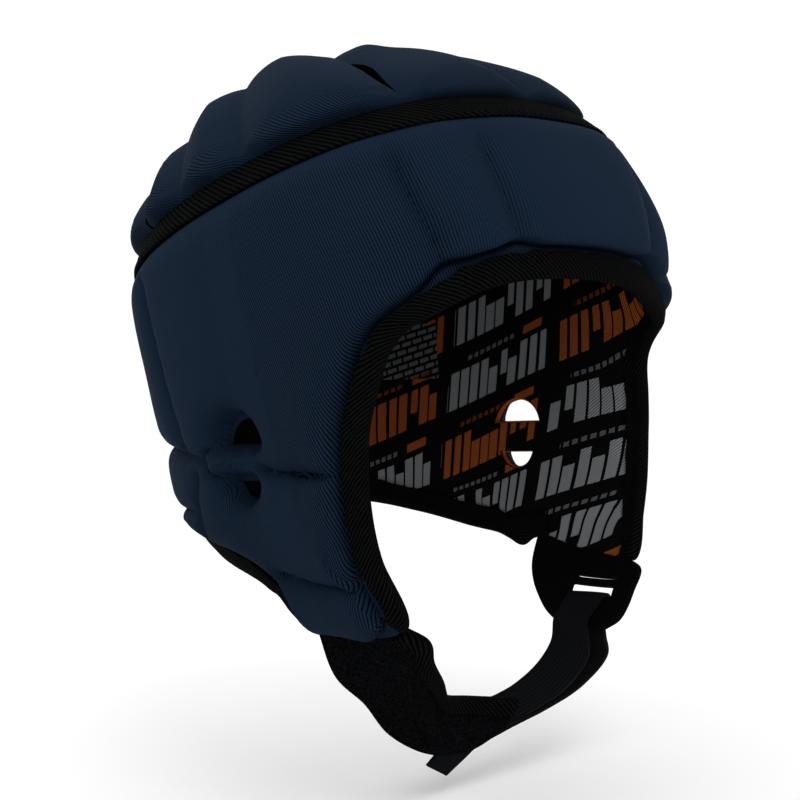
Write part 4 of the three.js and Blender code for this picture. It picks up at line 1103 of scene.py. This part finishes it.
# twill bindings folded over the face edge and the neck edge
edgeBinding = {
    "faceWidth": 7.6, "neckWidth": 9.4, "thick": 1.2, "roundEdge": 0.35, "gap": 0.4, "weaveScale": 1.3,
    "tipGap": 0.7, "tipFrom": -1.0, "tipReach": 2.3, "legSteps": 8, "tipSteps": 13, "looseFrom": 1.0,
    "faceSteps": 360, "neckSteps": 190, "wobble": 0.3, "wobblePitch": 17.0, "waver": 0.61,
    "foldRow": 6.1, "foldSpread": 0.4, "foldWide": 3.0,
    "rippleRow": 5.7, "rippleSpread": 0.9, "ripple": 1.1, "ripplePitch": 13.0,
}


def bindingSection(width):
    cut = edgeBinding
    # fold seen end on: run past the edge, depth below the pads
    leg = np.linspace(-width, cut["tipFrom"], cut["legSteps"])
    half = cut["thick"] / 2
    face = headForm["edgeSink"] + edgeDrop(-leg) - cut["gap"] - half
    rear = headForm["liningFace"] + headForm["liningThick"] + cut["tipGap"] + half - edgeDraw(-leg)
    bend = np.linspace(-math.pi / 2, math.pi / 2, cut["tipSteps"])[1:-1]
    middle, tall = (face[-1] + rear[-1]) / 2, (rear[-1] - face[-1]) / 2
    tip = np.stack([cut["tipFrom"] + cut["tipReach"] * np.cos(bend), middle + tall * np.sin(bend)], 1)
    return np.vstack([np.stack([leg, face], 1), tip, np.stack([leg, rear], 1)[::-1]])


def makeBinding(name, lines, width):
    cut = edgeBinding
    section = bindingSection(width)
    turn, level = alongWall(lines, lines["length"][:, None])
    run = runAlong(formPoint(turn[:, 0], level[:, 0]))[:, None]
    sway = np.sin(run * 2 * math.pi / cut["wobblePitch"]) + np.sin(run * cut["waver"] + 1)
    gathered = bell(lines["rows"] - cut["foldRow"], cut["foldSpread"]) * (lines["sides"] < 0)
    sway = cut["wobble"] * sway - cut["foldWide"] * gathered[:, None]
    loose = ease((-section[:, 0] - cut["looseFrom"]) / width)
    ripple = bell(lines["rows"] - cut["rippleRow"], cut["rippleSpread"])[:, None]
    ripple = cut["ripple"] * ripple * np.sin(run * 2 * math.pi / cut["ripplePitch"])
    reach = lines["length"][:, None] + section[:, 0] + sway * loose + ripple * (1 - loose)
    points = insetPoint(*alongWall(lines, reach), section[:, 1])
    weave = cut["weaveScale"] * crossWeave(-run[:, 0], runAlong(section))
    return sewPiece(name, points, weave, blackTwill, cut)


def edgeStretch(first, last, steps, overBrow):
    half = evenRows(first, last, steps // 2)
    rows = np.concatenate([half, half[-2::-1]]) if overBrow else np.concatenate([half[::-1], half[1:]])
    near, far = (-1.0, 1.0) if overBrow else (1.0, -1.0)
    return wallLines(rows, np.concatenate([np.full(len(half), near), np.full(len(half) - 1, far)]))


faceLines = edgeStretch(bandCut["faceStart"], lastRow, edgeBinding["faceSteps"], True)
faceBinding = makeBinding("face_binding_twill", faceLines, edgeBinding["faceWidth"])
ship(faceBinding, "face_binding")
neckLines = edgeStretch(0, bandCut["neckEnd"], edgeBinding["neckSteps"], False)
neckBinding = makeBinding("neck_binding_twill", neckLines, edgeBinding["neckWidth"])
ship(neckBinding, "neck_binding")


# chin parts: flat pieces whose rows run from the rear edge to the front edge
def rowLine(row, count):
    t = np.linspace(0, 1, count)[:, None]
    return np.array((row[0], -row[1], row[2])) * (1 - t) + np.array((row[3], -row[4], row[5])) * t


def turnLine(height, depth, rear, front, count):
    turn = np.radians(np.linspace(rear, front, count))
    return insetPoint(turn, np.full(count, levelOfHeight(np.float64(height))), depth)


def jawEdge(side, cut):
    rows = np.linspace(*bandCut["rightTab" if side < 0 else "leftTab"], cut["columns"])
    lines = wallLines(rows, np.full(cut["columns"], float(side)))
    turn, level = alongWall(lines, lines["length"][:, None] + cut["gap"])
    return insetPoint(turn[:, 0], level[:, 0], cut["depth"])


def easeRows(rows, steps):
    # one smooth face through the rows, slower where they lie close
    rows = np.asarray(rows)
    padded = np.concatenate([2 * rows[:1] - rows[1:2], rows, 2 * rows[-1:] - rows[-2:-1]])
    at = np.linspace(0, len(rows) - 1, steps + 1)
    i = np.clip(np.floor(at).astype(int), 0, len(rows) - 2)
    t = (at - i)[:, None, None]
    a, b, c, d = padded[i], padded[i + 1], padded[i + 2], padded[i + 3]
    spans = [np.linalg.norm(q - p, axis=-1, keepdims=True) for p, q in ((a, b), (b, c), (c, d))]
    root = [np.sqrt(np.maximum(span, 1e-6)) for span in spans]
    first = ((b - a) / root[0] - (c - a) / (root[0] + root[1]) + (c - b) / root[1]) * root[1]
    last = ((c - b) / root[1] - (d - b) / (root[1] + root[2]) + (d - c) / root[2]) * root[1]
    return b + t * (first + t * (3 * (c - b) - 2 * first - last + t * (2 * (b - c) + first + last)))


def flatWeave(face):
    run = runAlong(face[:, face.shape[1] // 2])
    wide = np.linalg.norm(face[:, -1] - face[:, 0], axis=1)
    share = np.linspace(-0.5, 0.5, face.shape[1])
    return np.stack([wide[:, None] * share, np.broadcast_to(run[:, None], face.shape[:2])], -1)


loopTab = {
    "steps": 72, "columns": 33, "thick": 2.6, "roundEdge": 0.9, "depth": 10.5, "gap": 0.1,
    # rear x, forward, height, then front x, forward, height
    "rows": [
        (-64.5, 23.5, -80.5, -58.8, 63.7, -66.7), (-56.8, 29.5, -91, -53, 60.3, -75),
        (-46, 30.5, -104.8, -40.5, 52.5, -84.5), (-30, 35, -115.4, -28.5, 43.5, -94),
        (-8, 37, -118.7, -8, 38.4, -99.5), (10, 40, -113, 12, 44.5, -103.6),
    ],
}
tabRows = [jawEdge(-1, loopTab)] + [rowLine(row, loopTab["columns"]) for row in loopTab["rows"]]
tabFace = easeRows(tabRows, loopTab["steps"])
tab = sewPiece("loop_tab_pile", tabFace, flatWeave(tabFace), brushedPile, loopTab)
ship(tab, "loop_tab")

tabEdge = {"width": 4.6, "thick": 1.2, "roundEdge": 0.3, "gap": 0.4, "start": 1, "reach": 1.6,
           "legSteps": 7, "tipSteps": 11}


def makeTabBinding():
    across = unit(tabFace[:, -1] - tabFace[:, -3])
    out = unit(np.cross(np.gradient(tabFace[:, -1], axis=0), across))
    rise = loopTab["thick"] / 2 + tabEdge["gap"] + tabEdge["thick"] / 2
    steps = tabEdge["legSteps"]
    leg = np.stack([np.linspace(-tabEdge["width"], 0, steps), np.full(steps, rise)], 1)
    bend = np.linspace(math.pi / 2, -math.pi / 2, tabEdge["tipSteps"])[1:-1]
    tip = np.stack([tabEdge["reach"] * np.cos(bend), rise * np.sin(bend)], 1)
    section = np.vstack([leg, tip, leg[::-1] * (1, -1)])
    edge, across, out = tabFace[tabEdge["start"]:, -1], across[tabEdge["start"]:], out[tabEdge["start"]:]
    points = edge[:, None] + across[:, None] * section[:, :1] + out[:, None] * section[:, 1:]
    weave = crossWeave(runAlong(edge), runAlong(section))
    return sewPiece("tab_binding_twill", points, weave, blackTwill, tabEdge)


tabBinding = makeTabBinding()
ship(tabBinding, "tab_binding")

slotTab = {
    "steps": 48, "columns": 33, "thick": 2.6, "roundEdge": 0.7, "depth": 10.5, "gap": 0.1,
    # height, rear turn, front turn
    "rows": [(-60, 81, 43.5), (-68, 78.5, 42.5), (-75, 74, 41.8), (-80, 69.5, 42.4), (-84.5, 63, 46)],
    # strap slot and stitched slit above it: height, how tall
    "slots": [(-71.2, 5.2), (-65.8, 0.9)],
    "slotTurn": 56.5, "slotWide": 24.0, "slotDeep": 12.0, "slotRound": 0.7, "slotShare": 0.3,
}


def makeSlotTab():
    rows = [jawEdge(1, slotTab)]
    for height, rear, front in slotTab["rows"]:
        rows.append(turnLine(height, slotTab["depth"], rear, front, slotTab["columns"]))
    face = easeRows(rows, slotTab["steps"])
    piece = sewPiece("slot_tab_cloth", face, flatWeave(face), plainBlack, slotTab)
    turn = np.array([math.radians(slotTab["slotTurn"])])
    for height, tall in slotTab["slots"]:
        level = levelOfHeight(np.array([float(height)]))
        out = Vector(formNormal(turn, level)[0])
        side = Vector((0, 0, 1)).cross(out).normalized()
        spot = (insetPoint(turn, level, slotTab["depth"])[0] - (0, 0, headTop)) / 1000
        bpy.ops.object.select_all(action="DESELECT")
        bpy.ops.mesh.primitive_cube_add(size=0.001)
        knife = bpy.context.object
        size = Matrix.Diagonal((slotTab["slotWide"], tall, slotTab["slotDeep"], 1))
        turned = Matrix((side, out.cross(side), out)).transposed().to_4x4()
        knife.data.transform(Matrix.Translation(spot) @ turned @ size)
        knife.data.materials.append(plainBlack)
        bpy.ops.object.mode_set(mode="EDIT")
        bpy.ops.mesh.select_all(action="SELECT")
        corner = min(slotTab["slotRound"], tall * slotTab["slotShare"]) / 1000
        bpy.ops.mesh.bevel(offset=corner, segments=2, affect="EDGES")
        bpy.ops.object.mode_set(mode="OBJECT")
        cutOut(piece, knife)
    return piece


jawTab = makeSlotTab()
ship(jawTab, "slot_tab")

chinStrap = {
    "steps": 280, "columns": 31, "thick": 1.8, "roundEdge": 0.5,
    # rear x, forward, height, then front x, forward, height
    "innerLeg": [
        (-28.8, 38.6, -101, -29.8, 33.4, -112), (-16.2, 33.9, -101.5, -16.9, 30.9, -115),
        (-2, 33.4, -102, -2, 32.4, -116), (10, 34.6, -101.5, 9.5, 35.3, -114.5),
        (25, 36.5, -97.5, 23.5, 45, -108.5), (38, 37, -91.8, 38.5, 50.5, -101.5),
        (46.5, 37, -85, 48, 54.8, -90),
    ],
    # height, depth, rear turn, front turn
    "fold": [
        (-83, 14.6, 63.5, 50.5), (-78, 13.6, 63.5, 50.5), (-75.3, 13.3, 63.5, 50.5), (-73, 12.5, 63.5, 50.5),
        (-72, 10.5, 63.5, 50.5), (-73, 8.5, 63.5, 50.5), (-75.3, 7.7, 63.5, 50.5), (-80, 7.3, 63.5, 50),
        (-86, 6, 63, 47.5),
    ],
    "outerLeg": [
        (58.5, 35.5, -92.5, 59.3, 56.3, -91), (48, 37.5, -99.5, 49.4, 50.9, -102),
        (30, 37.5, -100.5, 29.5, 45.5, -109.8), (13, 37.2, -101.5, 11.5, 38, -115.7),
        (-2, 35.5, -105.5, -3, 35, -119.5), (-13, 34.6, -110.5, -8, 33.5, -122.5),
        (-26, 30, -122, -16, 30.5, -128),
    ],
}


def makeStrap():
    count = chinStrap["columns"]
    rows = [rowLine(row, count) for row in chinStrap["innerLeg"]]
    rows += [turnLine(*row, count) for row in chinStrap["fold"]]
    rows += [rowLine(row, count) for row in chinStrap["outerLeg"]]
    face = easeRows(rows, chinStrap["steps"])
    return sewPiece("chin_strap_web", face, flatWeave(face), ribbedWeb, chinStrap)


strap = makeStrap()
ship(strap, "chin_strap")
